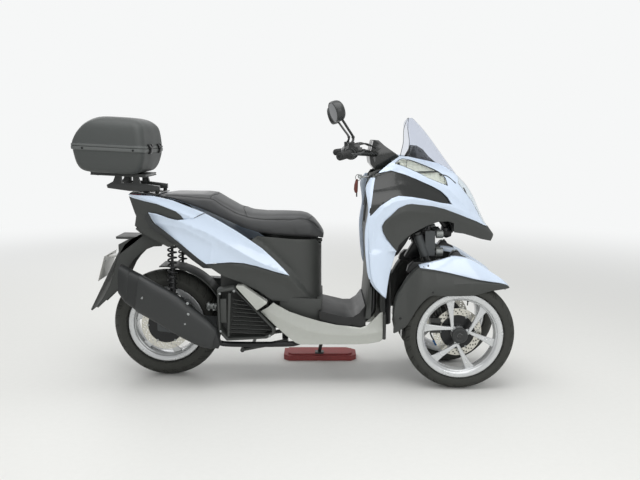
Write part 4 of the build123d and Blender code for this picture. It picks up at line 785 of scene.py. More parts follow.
# ---- Wheels -------------------------------------------------------------------------------------------
@dataclass
class Wheel:
    """One wheel: treaded tyre, V-spoked rim, drilled disc and its carrier."""

    tag: str
    body: str
    x: float
    y: float
    radius: float
    width: float
    bead: float
    hub: float
    hub_half: float
    disc: float
    disc_y: float
    out: float                  # +1 or -1, the side that shows
    spoke_out: float = 22.0     # outer face of a spoke at the hub, from the wheel's middle
    blocks: int = 30            # tread repeats round the tyre
    tread: float = 4.5
    slant: float = 1.5          # how far the grooves trail towards the shoulder
    #  share of the repeat from and to, share of the width from and to, share of the tread's depth
    grooves: tuple = ((0.10, 0.24, 0.10, 0.44, 1.0), (0.40, 0.50, 0.24, 0.44, 0.7))
    band: float = 31.0          # width of the drilled disc
    disc_thick: float = 4.0
    rivets: int = 6
    splay: float = math.radians(31.5)
    valve: float = math.radians(77)
    cos: float = math.cos(math.radians(17))
    sin: float = math.sin(math.radians(17))

    def name(self, part: str) -> str:
        """CAD node of a part of this wheel."""
        return f"front_{part}_{self.tag}" if self.tag != "rear" else f"rear_{part}"

    def centre(self) -> Vector:
        """Wheel centre in metres."""
        return Vector((self.x, self.y, self.radius)) * MM

    def tyre_rows(self) -> list[tuple[float, float]]:
        """(distance from the middle, radius) points over the tyre's section."""
        w, top, low = self.width, self.radius, self.bead
        shoulder = top - w * 0.30
        middle = (low + 16 + shoulder) / 2
        half = [(0.26 * w, low + 2), (0.30 * w, low + 9), (0.315 * w, low + 17), (0.35 * w, low + 19.5),
                (0.42 * w, low + 21), (0.468 * w, low + 23), (0.487 * w, middle), (0.499 * w, middle + 6),
                (0.488 * w, shoulder - 2), (0.475 * w, shoulder + 1), (0.467 * w, shoulder + 3)]
        crown = [0.43, 0.38, 0.32, 0.25, 0.18, 0.12, 0.07]
        rise = top - shoulder - 3
        half += [(v * w, top - rise * (v / 0.467) ** 2.1) for v in crown]
        return [(-y, r) for y, r in half] + [(0, top)] + half[::-1]

    def turned(self, x: float, y: float, depth: float) -> tuple[float, float, float]:
        """A point of the wheel's face, turned to where the first pair of spokes stands."""
        return (x * self.cos - y * self.sin, depth, x * self.sin + y * self.cos)

    def groove(self, share: float, y: float) -> float:
        """Depth of the tread at a share of one repeat and a distance from the middle."""
        v = abs(y) / self.width
        side = 0.0 if y > 0 else 0.5
        place = (share + side) % 1.0
        for start, end, near, far, deep in self.grooves:
            if start < place < end and near < v < far:
                return self.tread * deep
        return 0.0

    def tyre(self) -> None:
        """Tyre from one repeat of its tread, whose edges run along the grooves."""
        shares = [0.0, 0.09, 0.11, 0.23, 0.25, 0.39, 0.41, 0.49, 0.51, 0.59, 0.61, 0.73, 0.75, 0.89, 0.91,
                  0.99, 1.0]
        rings = []
        for share in shares:
            ring = []
            for y, r in self.tyre_rows():
                v = abs(y) / self.width
                slant = self.slant * min(v, 0.44)
                angle = 2 * math.pi / self.blocks * (share - slant)
                r -= self.groove(share, y)
                ring.append((r * math.cos(angle), y, r * math.sin(angle)))
            rings.append(ring)
        sector = Shape().loft(rings, cap=False).build(self.name("tyre") + "_tread")
        piece = grown(sector, Tree.RING, TYRE, Count=self.blocks, Centre=self.centre())
        dress(piece, TYRE, self.body, self.name("tyre"), angle=38)

    def rim(self) -> None:
        """Barrel with lips, three V pairs of tapering spokes and a hub."""
        half, outer = self.width * 0.33, self.bead - 0.5
        lip = [(6, 15), (6.5, 10), (5.5, -4), (2, -9), (-2, -11), (-5, -16), (-14, -18), (-20, -20)]
        back = [(-18, -4), (-8, -2), (-1, 2), (1, 15), (3.5, 17)]
        right = [(half + t, outer + r) for t, r in lip]
        rear = [(half + t, outer + r) for t, r in back]
        section = right + [(-t, r) for t, r in right[::-1]] + [(-t, r) for t, r in rear[::-1]] + rear
        axis = (0, 1, 0)
        barrel = Shape().spun(section, (0, 0, 0), axis, count=96, closed=True).build("barrel")
        reach, apex = outer - 9, self.hub + 11
        end = Vector((math.cos(self.splay), math.sin(self.splay))) * reach
        start = Vector((apex + 7, 7.5))
        steps = ((0, 7.5), (0.2, 8.5), (0.45, 11), (0.68, 14), (0.85, 18), (0.95, 23), (1.0, 28))
        one = [(start.lerp(end, t), wide) for t, wide in steps]
        arm = [(Vector((p.x, -p.y)), w) for p, w in one[::-1]] + [(Vector((apex, 0)), 7.5)] + one
        rings = []
        for i, (middle, wide) in enumerate(arm):
            along = (arm[min(i + 1, len(arm) - 1)][0] - arm[max(i - 1, 0)][0]).normalized()
            square = Vector((-along.y, along.x))
            drop = (middle.length - apex) / (reach - apex)
            face = self.out * (self.spoke_out - 7 * drop)
            back = face - self.out * (24 - 4 * drop)
            corners = [(wide - 2.5, face), (wide, face - self.out * 3), (wide * 0.75, back),
                       (-wide * 0.75, back), (-wide, face - self.out * 3), (-wide + 2.5, face),
                       (0, face - self.out * 1.2)]
            ring = [(middle + square * across, depth) for across, depth in corners]
            rings.append([self.turned(q.x, q.y, depth) for q, depth in ring])
        arms = Shape().loft(rings)
        foot = [(self.hub - 6, -13), (apex + 2, -11), (apex + 7, 0), (apex + 2, 11), (self.hub - 6, 13)]
        arms.loft([[self.turned(x, y, self.out * d) for x, y in foot]
                   for d in (self.spoke_out - 24, self.spoke_out - 8)])
        spokes = grown(arms.build("spokes"), Tree.RING, WHEEL_ALLOY, Count=3, Centre=(0, 0, 0))
        hub = Shape().spun([(-self.hub_half, self.hub * 0.7), (-self.hub_half + 4, self.hub * 0.82),
                            (-self.hub_half + 10, self.hub), (self.hub_half - 10, self.hub),
                            (self.hub_half - 4, self.hub * 0.82), (self.hub_half, self.hub * 0.7)],
                           (0, 0, 0), axis, count=48).build("hub")
        piece = joined(self.name("rim") + "_casting", [barrel, spokes, hub])
        piece.data.transform(Matrix.Translation(self.centre()))
        dress(eased(piece, 1.2, angle=40), WHEEL_ALLOY, self.body, self.name("rim"))

    def brake(self) -> None:
        """Drilled disc on a black carrier with rivets."""
        seat = Vector((self.x, self.disc_y, self.radius))
        blank = Shape().box((0, 0, 0), (1, 1, 1)).build(self.name("disc") + "_drilled")
        piece = grown(blank, Tree.DISC, DISC_STEEL, Outer=self.disc * MM, Inner=(self.disc - self.band) * MM,
                      Thick=self.disc_thick * MM, Holes=24, Hole=3.4 * MM,
                      Centre=(seat + Vector((0, self.disc_thick, 0))) * MM)
        dress(piece, DISC_STEEL, self.body, self.name("disc"))
        inner = self.disc - self.band + 3
        collar = Shape().spun([(-1, 16), (-1, self.hub + 2), (0.4, self.hub + 4), (0.4, inner - 4),
                               (1, inner - 1), (3, inner - 1), (3.6, inner - 4), (3.6, self.hub + 4),
                               (5, self.hub + 2), (5, 16)],
                              seat, (0, 1, 0), closed=True)
        collar.put(self.name("disc") + "_carrier", BLACK_STEEL, self.body, ease=0.5)
        rivets = []
        for k in range(self.rivets):
            a = math.radians(360 / self.rivets * k)
            place = seat + Vector((math.cos(a) * (inner - 4), 2 + 2.6 * self.out, math.sin(a) * (inner - 4)))
            rivets.append((place, (0, self.out, 0)))
        bolts(self.name("disc") + "_rivets", rivets, 3.6, BRIGHT_STEEL, self.body)

    def cap(self) -> None:
        """Hub cap, axle nut and valve."""
        face = self.hub_half - 3
        start = (self.x, self.y + self.out * (face - 8), self.radius)
        cover = Shape().spun([(0, 36), (8, 36), (12, 33), (14, 25), (12.5, 22), (12.5, 12), (10, 10),
                              (10, 0.2)], start,
                             (0, self.out, 0), 40)
        cover.put(self.name("rim") + "_cap", SHIELD_ABS, self.body)
        a = self.valve
        reach = self.bead - 14
        root = Vector((self.x + math.cos(a) * reach, self.y + self.out * 6,
                       self.radius + math.sin(a) * reach))
        tip = root + Vector((-math.cos(a) * 24, self.out * 12, -math.sin(a) * 24))
        stem = Shape().rod(root, tip, 2.6, 12, 0.6).rod(root, root.lerp(tip, 0.4), 4.2, 12, 0.8)
        stem.put(self.name("rim") + "_valve", RUBBER, self.body)

    def build(self) -> None:
        """Make the whole wheel."""
        self.tyre()
        self.rim()
        self.brake()
        self.cap()


# ---- Front fenders ------------------------------------------------------------------------------------
@dataclass
class Fender:
    """Two-tone fender of one front wheel: painted leaf on top, dark skirt and flap below."""

    tag: str
    side: float
    outer_y: float = 251.0
    ridge_y: float = 208.0
    inner_y: float = 143.0
    flap_y: float = 226.0
    wall: float = 3.5
    notch: float = 705.0
    tip: float = 562.0          # where the painted leaf starts
    proud: float = 4.2          # how far the leaf stands off the shell
    axle: tuple = (750, 249.8)
    liner: float = 262.0        # radius of the inner liner
    inside: float = 134.0       # how far out the brake line's fitting sits
    #  along, ridge, leaf's edge, crease, lower edge
    stations: tuple = ((452, 335, 328, 318, 262), (460, 421, 412, 398, 262), (487, 470, 460, 438, 278),
                       (515, 518, 506, 458, 301), (562, 562, 560, 470, 392), (610, 576, 555, 478, 436),
                       (654, 586, 547, 485, 437), (700, 600, 537, 489, 436), (716, 604, 533, 490, 436),
                       (765, 598, 521, 493, 437), (813, 578, 509, 494, 441), (872, 540, 498, 489, 456),
                       (917, 511, 491, 483, 461), (950, 487, 481, 476, 464), (963, 474, 472, 470, 466))

    def outline(self, i: int, proud: float = 0.0) -> list[Vector]:
        """Section points of a station, from the inner edge over the ridge to the lower outer edge."""
        x, top, leaf, crease, low = self.stations[i]
        nose = 1 - min(1.0, (963 - x) / 170)
        out = self.outer_y - nose ** 2 * 34
        if x < 562:
            out = self.flap_y + (self.outer_y - self.flap_y) * max(0.0, (x - 512) / 50)
        ridge = min(self.ridge_y, out - 18) - nose * 10
        inner = 176.0 if x < self.notch else self.inner_y + nose * 14
        return [Vector((x, inner, top - 30)), Vector((x, inner + 4, top - 10 + proud)),
                Vector((x, (inner + ridge) / 2, top - 2 + proud)), Vector((x, ridge, top + proud * 0.5)),
                Vector((x, ridge * 0.42 + out * 0.58 + proud, leaf)), Vector((x, out, crease)),
                Vector((x, out - 1, crease * 0.5 + low * 0.5)), Vector((x, out - 6, low))]

    def skin(self, columns: range, last: int, name: str, proud: float = 0.0) -> Piece:
        """Sheet over the stations' first points up to the last, given its wall."""
        rows = [self.outline(i, proud)[:last + 1] for i in columns]
        lanes = [curve_through(lane, 3) for lane in zip(*rows)]
        shape = Shape().loft([[(p.x, p.y * self.side, p.z) for p in ring] for ring in zip(*lanes)],
                             wrap=False, cap=False)
        return eased(walled(shape.build(name), self.wall, 0.0, True), 1.2, angle=45)

    def build(self) -> None:
        """Make the dark shell, the painted leaf and the inner liner."""
        body = f"fork_{self.tag}"
        count = len(self.stations)
        shell = self.skin(range(count), 7, f"fender_{self.tag}_dark_shell")
        dress(shell, DARK_ABS, body, f"front_fender_{self.tag}", angle=24)
        first = next(i for i in range(count) if self.stations[i][0] >= self.tip)
        leaf = self.skin(range(first, count), 4, f"fender_{self.tag}_painted_leaf", self.proud)
        for vert in leaf.data.vertices:
            near = max(0.0, 1 - (vert.co.x / MM - self.tip) / 46)
            vert.co.z += 3.2 * near * MM
            vert.co.y += 2.6 * near * self.side * MM
        dress(leaf, PAINT, body, angle=28)
        crease = [(562, self.outer_y - 0.5, 556), (620, self.outer_y - 4, 548), (700, self.outer_y - 5, 536),
                  (790, self.outer_y - 6, 513), (872, self.outer_y - 14, 497), (930, self.outer_y - 30, 486)]
        tube(f"fender_{self.tag}_seam", [(x, y * self.side, z) for x, y, z in crease], 1.3, BLACK_STEEL,
             body, 8)
        self.bridge(body)
        liner = Shape()
        rings = []
        for k in range(19):
            a = math.radians(56 + 126 * k / 18)
            x, z = self.axle[0] + math.cos(a) * self.liner, self.axle[1] + math.sin(a) * self.liner
            z = min(z, level_at([station[:2] for station in self.stations], x) - 14)
            rings.append([(x, y * self.side, z) for y in (178, 190, 205, 222)])
        liner.loft(rings, wrap=False, cap=False)
        dress(bake(walled(liner.build(f"fender_{self.tag}_liner"), 2.5)), GLOSS_ABS, body)
        y = self.inside * self.side
        fitting = Shape().rod((652, y, 196), (660, y, 180), 6.5, 18, 1)
        fitting.rod((648, y, 204), (652, y, 196), 8.5, 6, 0.5)
        fitting.put(f"brake_fitting_{self.tag}", BLUE_FITTING, body)
        line = [(x, out * self.side, z) for x, out, z in ((650, 134, 200), (632, 130, 240), (640, 126, 310),
                                                          (622, 124, 380), (610, 122, 450), (596, 120, 520))]
        tube(f"brake_hose_{self.tag}", line, 3.6, RUBBER, body, 10)
        screws = [((620, (self.outer_y - 2) * self.side, 455), (0, self.side, 0)),
                  ((482, (self.flap_y - 1) * self.side, 330), (0, self.side, 0))]
        bolts(f"fender_{self.tag}_screws", screws, 4.0, BLACK_STEEL, body)

    def bridge(self, body: str) -> None:
        """Black casting that ties the fender to the fork, with its bolts."""
        outline = [(512, 532), (520, 560), (540, 578), (692, 578), (704, 606), (716, 624), (742, 626),
                   (752, 610), (778, 598), (786, 584), (640, 556), (560, 520)]
        near, far = sorted((148 * self.side, 186 * self.side))
        block = Shape().prism(outline, near, far)
        block.put(f"fender_{self.tag}_bridge", BLACK_STEEL, body, ease=3.0)
        places = [((x, 160 * self.side, z + 1), (0, 0, 1)) for x, z in ((722, 624), (735, 626))]
        bolts(f"fender_{self.tag}_bridge_bolts", places, 4.5, CAST_ALLOY, body)


# ---- Panels ----------------------------------------------------------------------------------------------
@dataclass(frozen=True)
class Ridge:
    """Line pressed into a panel: its side view, how far it stands out and how far its flanks reach."""

    line: tuple
    height: float
    reach: float

    def rise(self, x: float, z: float) -> float:
        """How far the panel stands out at a point because of this line."""
        spot, nearest = Vector((x, z)), 1e9
        for a, b in zip(self.line, self.line[1:]):
            a, b = Vector(a), Vector(b)
            share = max(0.0, min(1.0, (spot - a).dot(b - a) / (b - a).length_squared))
            nearest = min(nearest, (spot - a.lerp(b, share)).length)
        return self.height * max(0.0, 1 - nearest / self.reach) ** 1.5


@dataclass
class Panel:
    """Bodywork panel: the CAD node's outline, given its creases, its crown and rounded edges."""

    node: str
    finish: Finish
    ridges: tuple = ()
    step: float = 15.0
    width: float = 1.6
    front: float = 1e4          # where the panel starts to turn across the scooter
    turn: float = 300.0         # over how long it turns
    half: float = 200.0         # half width at which a ridge moves a point straight outwards
    body: str = "chassis"

    def bend(self, spot: Vector) -> Vector:
        """Place of a point once the ridges have moved it outwards."""
        rise = sum(ridge.rise(spot.x, spot.z) for ridge in self.ridges)
        out = Vector((max(0.0, spot.x - self.front) / self.turn, spot.y / self.half, 0.0))
        return spot + out.normalized() * rise if rise and out.length > 1e-4 else spot

    def build(self) -> None:
        """Make the panel in place of its node."""
        work = copy_of(self.node)
        if self.ridges:
            for ridge in self.ridges:
                for (x0, z0), (x1, z1) in zip(ridge.line, ridge.line[1:]):
                    bmesh.ops.bisect_plane(work, geom=[*work.verts, *work.edges, *work.faces], dist=CUT_DIST,
                                           plane_co=Vector((x0, 0, z0)) * MM,
                                           plane_no=Vector((z0 - z1, 0, x1 - x0)))
            for axis in (0, 2):
                sliced(work, axis, self.step)
            for vert in work.verts:
                vert.co = self.bend(vert.co / MM) * MM
        piece = piece_of(work, f"{self.node}_panel")
        dress(eased(piece, self.width, angle=50), self.finish, self.body, self.node, angle=30)


PANELS = (
    Panel("side_panels", PAINT, (
        Ridge(((-680, 800), (-647, 793), (-524, 767), (-389, 715), (-265, 646), (-175, 589), (20, 500)),
              13, 52),
        Ridge(((-640, 752), (-615, 750), (-480, 727), (-356, 658), (-372, 571), (-376, 540)), 3.5, 26))),
    Panel("grab_rails", PAINT,
          (Ridge(((-780, 884), (-721, 874), (-626, 845), (-514, 805), (-441, 773)), 7, 26),)),
    Panel("tail_cover", DARK_ABS, (Ridge(((-740, 800), (-640, 765), (-560, 700), (-490, 640)), 5, 45),)),
    Panel("seat_base_cover", DARK_ABS, (
        Ridge(((-330, 590), (-269, 562), (-154, 546), (-16, 499), (99, 373), (110, 330)), 11, 46),
        Ridge(((-190, 690), (-143, 672), (-8, 540), (93, 400)), -8, 28)), front=0.0),
    Panel("floor_skirts", SILVER, (
        Ridge(((-140, 372), (-60, 322), (20, 282), (100, 256), (220, 244), (330, 246), (430, 262)),
              8, 48),)),
    Panel("front_cowl", PAINT, (
        Ridge(((340, 600), (352, 700), (362, 770), (396, 822), (445, 852), (520, 862), (600, 851),
               (690, 828), (760, 800), (840, 752), (900, 716)), 8, 30),
        Ridge(((350, 950), (400, 984), (470, 996), (564, 962), (640, 930), (699, 896), (750, 850),
               (800, 800)), 5, 24)), front=560.0, width=0.5),
    Panel("front_undercowl", DARK_ABS, (
        Ridge(((430, 640), (405, 730), (430, 780), (500, 810), (600, 800), (700, 775), (820, 730),
               (935, 680)), 7, 44),), front=560.0),
    Panel("cowl_side_panels", GLOSS_ABS, (
        Ridge(((300, 900), (380, 905), (470, 925), (600, 905), (720, 850)), -7, 60),), front=560.0),
    Panel("inner_leg_shield", DARK_ABS),
    Panel("handlebar_cover", GLOSS_ABS, body="steering"),
    Panel("lower_front_cover", DARK_ABS),
    Panel("luggage_carrier", ENAMEL, width=2.4),
    Panel("rear_mudguard", DARK_ABS, width=1.2),
    Panel("floorboard", MAT_BLACK, width=1.5),
)


class Flank:
    """Outside of some CAD nodes, found by rays shot at it from the left."""

    def __init__(self, *nodes: str) -> None:
        """Join the nodes' meshes into one target."""
        points, faces = [], []
        for node in nodes:
            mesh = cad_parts[node].data
            base = len(points)
            points += [v.co / MM for v in mesh.vertices]
            faces += [[base + i for i in polygon.vertices] for polygon in mesh.polygons]
        self.tree = BVHTree.FromPolygons(points, faces)

    def at(self, x: float, z: float, missed: float = math.nan) -> float:
        """Half width at a point of the side view, or missed where there is nothing."""
        hit = self.tree.ray_cast(Vector((x, RAY_START, z)), Vector((0, -1, 0)))[0]
        return hit.y if hit else missed


@dataclass
class ShieldSkin:
    """Painted wing in front of the rider's legs, run up over the cowl's foot so that the two read as one."""

    rear: tuple = ((419, 415), (446, 391), (480, 367), (505, 353), (539, 346), (588, 341), (640, 338),
                   (704, 336.5))
    front: tuple = ((419, 416.5), (476, 423), (530, 432), (573, 445), (630, 460.5), (658, 437), (690, 413),
                    (704, 405))
    foot: float = 419.5
    pitch: int = 6
    levels: int = 48
    columns: int = 13
    joint: int = 634            # height at which the wing meets the cowl
    blend: int = 50
    crown: float = 1.8
    wall: float = 4.2
    margin: float = 1.2         # how far inside the outline the rays stay
    half: float = 214.0         # half width where no ray has hit yet
    proud: float = 1.5
    fade: float = 34.0          # height over which the wing's top runs into the cowl
    passes: int = 6

    def build(self) -> None:
        """Make the wing on both sides."""
        flank = Flank("leg_shield", "front_cowl")
        columns, heights = self.columns, [self.foot + self.pitch * k for k in range(self.levels)]
        rows = []
        for z in heights:
            x0, x1 = level_at(self.rear, z), level_at(self.front, z)
            row = []
            for k in range(columns):
                share = k / (columns - 1)
                x = x0 + (x1 - x0) * share
                y = flank.at(min(max(x, x0 + self.margin), x1 - self.margin), z)
                if math.isnan(y):
                    y = row[-1][1] if row else rows[-1][0][1] if rows else self.half
                row.append([x, y, z])
            rows.append(row)
        for _ in range(self.passes):
            before = [[point[1] for point in row] for row in rows]
            for i in range(1, len(rows) - 1):
                if abs(heights[i] - self.joint) < self.blend:
                    for k in range(columns):
                        rows[i][k][1] = (before[i - 1][k] + 2 * before[i][k] + before[i + 1][k]) / 4
        shape = Shape()
        top = heights[-1]
        lifted = []
        for row in rows:
            fade = min(1.0, (top - row[0][2]) / self.fade)
            crown = [self.crown * math.sin(math.pi * k / (columns - 1)) for k in range(columns)]
            lifted.append([(x, y + (self.proud + crown[k]) * fade * fade * (3 - 2 * fade) - 0.5 * (1 - fade),
                            z)
                           for k, (x, y, z) in enumerate(row)])
        shape.loft([outer + [(x, y - self.wall, z) for x, y, z in reversed(outer)]
                    for outer in lifted]).both_sides()
        shape.put("leg_shield_wings", PAINT, "chassis", "leg_shield", ease=1.0, sharp=50, angle=40)


@dataclass
class ShieldRim:
    """Painted flange that carries the bodywork round the rider's side of the leg shield."""

    #  height, rear edge of the paint, half width there, how far the flange reaches back
    levels: tuple = ((424, 412, 213, 4), (470, 372, 222, 10), (520, 350, 228, 13), (580, 343, 229, 15),
                     (632, 339, 227, 16), (700, 335, 232, 15), (745, 335, 234, 12), (785, 336, 236, 6),
                     (810, 338, 235, 5), (840, 342, 234, 10), (875, 347, 229, 20), (905, 351, 219, 28),
                     (930, 355, 211, 25), (955, 360, 203, 14))

    def build(self) -> None:
        """Make the flange on both sides."""
        shape = Shape()
        rows = []
        for z, x, y, reach in self.levels:
            rows.append([(x + 4, y + 0.4, z), (x - reach * 0.5, y + 1.2, z), (x - reach, y - 2, z),
                         (x - reach - 1.5, y - 5, z), (x - reach + 2, y - 7, z), (x - reach * 0.4, y - 6, z),
                         (x + 4, y - 5, z)])
        lanes = [curve_through(lane, 3) for lane in zip(*rows)]
        shape.loft([list(ring) for ring in zip(*lanes)]).both_sides()
        shape.put("leg_shield_rim", PAINT, "chassis", ease=1.0, sharp=45, angle=40)


# ---- Top box --------------------------------------------------------------------------------------------
@dataclass
class TopBox:
    """Top box: lofted base and lid with a lipped belt, hinges and a latch, on its mounting plate."""

    hinge: tuple = (-640.0, 1078.0)
    tilt: float = math.radians(3.0)
    length: float = 360.3
    half: float = 203.0
    bulge: float = 42.0
    corner: float = 40.0
    #  height, then how far the level is drawn in behind, in front and at the sides
    base: tuple = ((-114.5, 78, 66, 52), (-110, 52, 42, 40), (-98, 34, 27, 26), (-72, 20, 14, 16),
                   (-34, 10.5, 5, 8.5), (-18, 7.5, 4, 6))
    base_lip: tuple = ((-16, 4, 2, 3), (-14, 1.5, 0.8, 1.2), (-3, 0.6, 0.4, 0.5), (-1, 1.6, 1.2, 1.4))
    lid_lip: tuple = ((1, 1.6, 1.2, 1.4), (3, 0.6, 0.5, 0.6), (9, 1.2, 1.2, 1.2), (10.5, 4, 4, 4))
    lid: tuple = ((20, 5, 5, 5), (55, 20, 9.5, 9), (91, 48, 18, 17), (112, 76, 35, 31), (126, 104, 58, 56),
                  (133, 132, 86, 86), (133.8, 158, 112, 116))

    def place(self, x: float, y: float, z: float) -> Vector:
        """Point of the tilted box in the scooter's frame."""
        c, s = math.cos(self.tilt), math.sin(self.tilt)
        return Vector((self.hinge[0] + x * c + z * s, y, self.hinge[1] - x * s + z * c))

    def ring(self, level: Sequence[float], grow: float = 0.0) -> list[Vector]:
        """Plan outline of one level, its corners rounded."""
        z, rear, front, side = level
        x0, x1, half = -self.length + rear - grow, -front + grow, self.half - side + grow
        corners = [(x0 + self.bulge, -half), (x1, -half), (x1, half), (x0 + self.bulge, half),
                   (x0, half * 0.35), (x0, -half * 0.35)]
        return [self.place(x, y, z) for x, y in rounded(corners, self.corner + grow, 7)]

    def half_shell(self, levels: Sequence[Sequence[float]], lip: Sequence[Sequence[float]]) -> Shape:
        """Smooth wall through the levels, with the stepped lip beside it."""
        lanes = [curve_through(lane, 3) for lane in zip(*(self.ring(level) for level in levels))]
        wall = [list(ring) for ring in zip(*lanes)]
        lips = [self.ring(level) for level in lip]
        return Shape().loft(wall + lips if levels[0][0] < lip[0][0] < 0 else lips + wall)

    def build(self) -> None:
        """Make the base, lid, latch, hinges and plate trim."""
        edges = {"ease": 1.2, "sharp": 35, "angle": 30}
        lower, upper = self.half_shell(self.base, self.base_lip), self.half_shell(self.lid, self.lid_lip)
        lower.put("top_box_lower_shell", BOX_PP, "chassis", "top_box_base", **edges)
        upper.put("top_box_upper_shell", BOX_PP, "top_box_lid", "top_box_lid", **edges)
        for name, levels, body in (("lower", self.base_lip, "chassis"),
                                   ("upper", self.lid_lip, "top_box_lid")):
            band = Shape().loft([self.ring(level, 0.35) for level in levels], cap=False)
            band.loft([self.ring(level, -2.0) for level in reversed(levels)], cap=False)
            band.put(f"top_box_{name}_lip", LIP_PP, body, angle=30)
        self.latch()
        self.hinges()
        self.plate()

    def latch(self) -> None:
        """Latch with its lock barrel behind, and the belt's pins."""
        rear = -self.length
        latch = Shape().loft([[self.place(rear + x, y, z) for y, z in
                               rounded([(-34, -34), (34, -34), (28, -4), (-28, -4)], 6, 4)]
                              for x in (16, 9.4, 8.2)])
        latch.put("top_box_latch", GLOSS_ABS, "chassis", ease=1.6)
        barrel = Shape().rod(self.place(rear + 10, 0, -19), self.place(rear + 6.6, 0, -19), 8, 24, 1)
        barrel.put("top_box_lock", BRIGHT_STEEL, "chassis")
        pins = [(self.place(x, y * 201.8, -8), (0.0, y, 0)) for y in (-1, 1)
                for x in (-48, -self.length + 92)]
        bolts("top_box_pins", pins, 4.0, BLACK_STEEL, "chassis")

    def hinges(self) -> None:
        """Two hinges in front, their leaves on the base and on the lid."""
        base, lid = Shape(), Shape()
        for y in (-90, 90):
            leaf = [(-4, -24), (5, -22), (9, -16), (10, 7), (5, 12), (0.6, 7), (0.6, -2), (-4, -2)]
            base.loft([[self.place(x, y + w, z) for x, z in leaf] for w in (-13.6, 13.6)])
            base.rod(self.place(5, y - 31, 7), self.place(5, y + 31, 7), 2.2, 16)
            for low, high in ((-31.5, -14.6), (14.6, 31.5)):
                lid.rod(self.place(5, y + low, 7), self.place(5, y + high, 7), 5, 20, 0.8)
                flap = [(-6, 6), (3, 4), (7, 8), (4, 20), (-6, 20)]
                lid.loft([[self.place(x, y + w, z) for x, z in flap] for w in (low, high)])
        base.put("top_box_base_hinges", BLACK_STEEL, "chassis", ease=1.2)
        lid.put("top_box_lid_hinges", BLACK_STEEL, "top_box_lid", ease=1.2)

    def plate(self) -> None:
        """Rim, ribs and bolts of the mounting plate."""
        corners = rounded([(-260, -102), (-18, -102), (-18, 102), (-260, 102)], 16, 5)
        for name, z, radius in (("top", -117.5, 2.2), ("foot", -127, 3.0)):
            loop = [self.place(x, y, z) for x, y in corners + corners[:1]]
            tube(f"top_box_plate_{name}_rim", loop, radius, DARK_ABS, sides=10)
        places = [(self.place(x, y, -129), (0, 0, -1)) for x in (-240, -60) for y in (-70, 70)]
        bolts("top_box_plate_bolts", places, 5.0, BRIGHT_STEEL, "chassis")


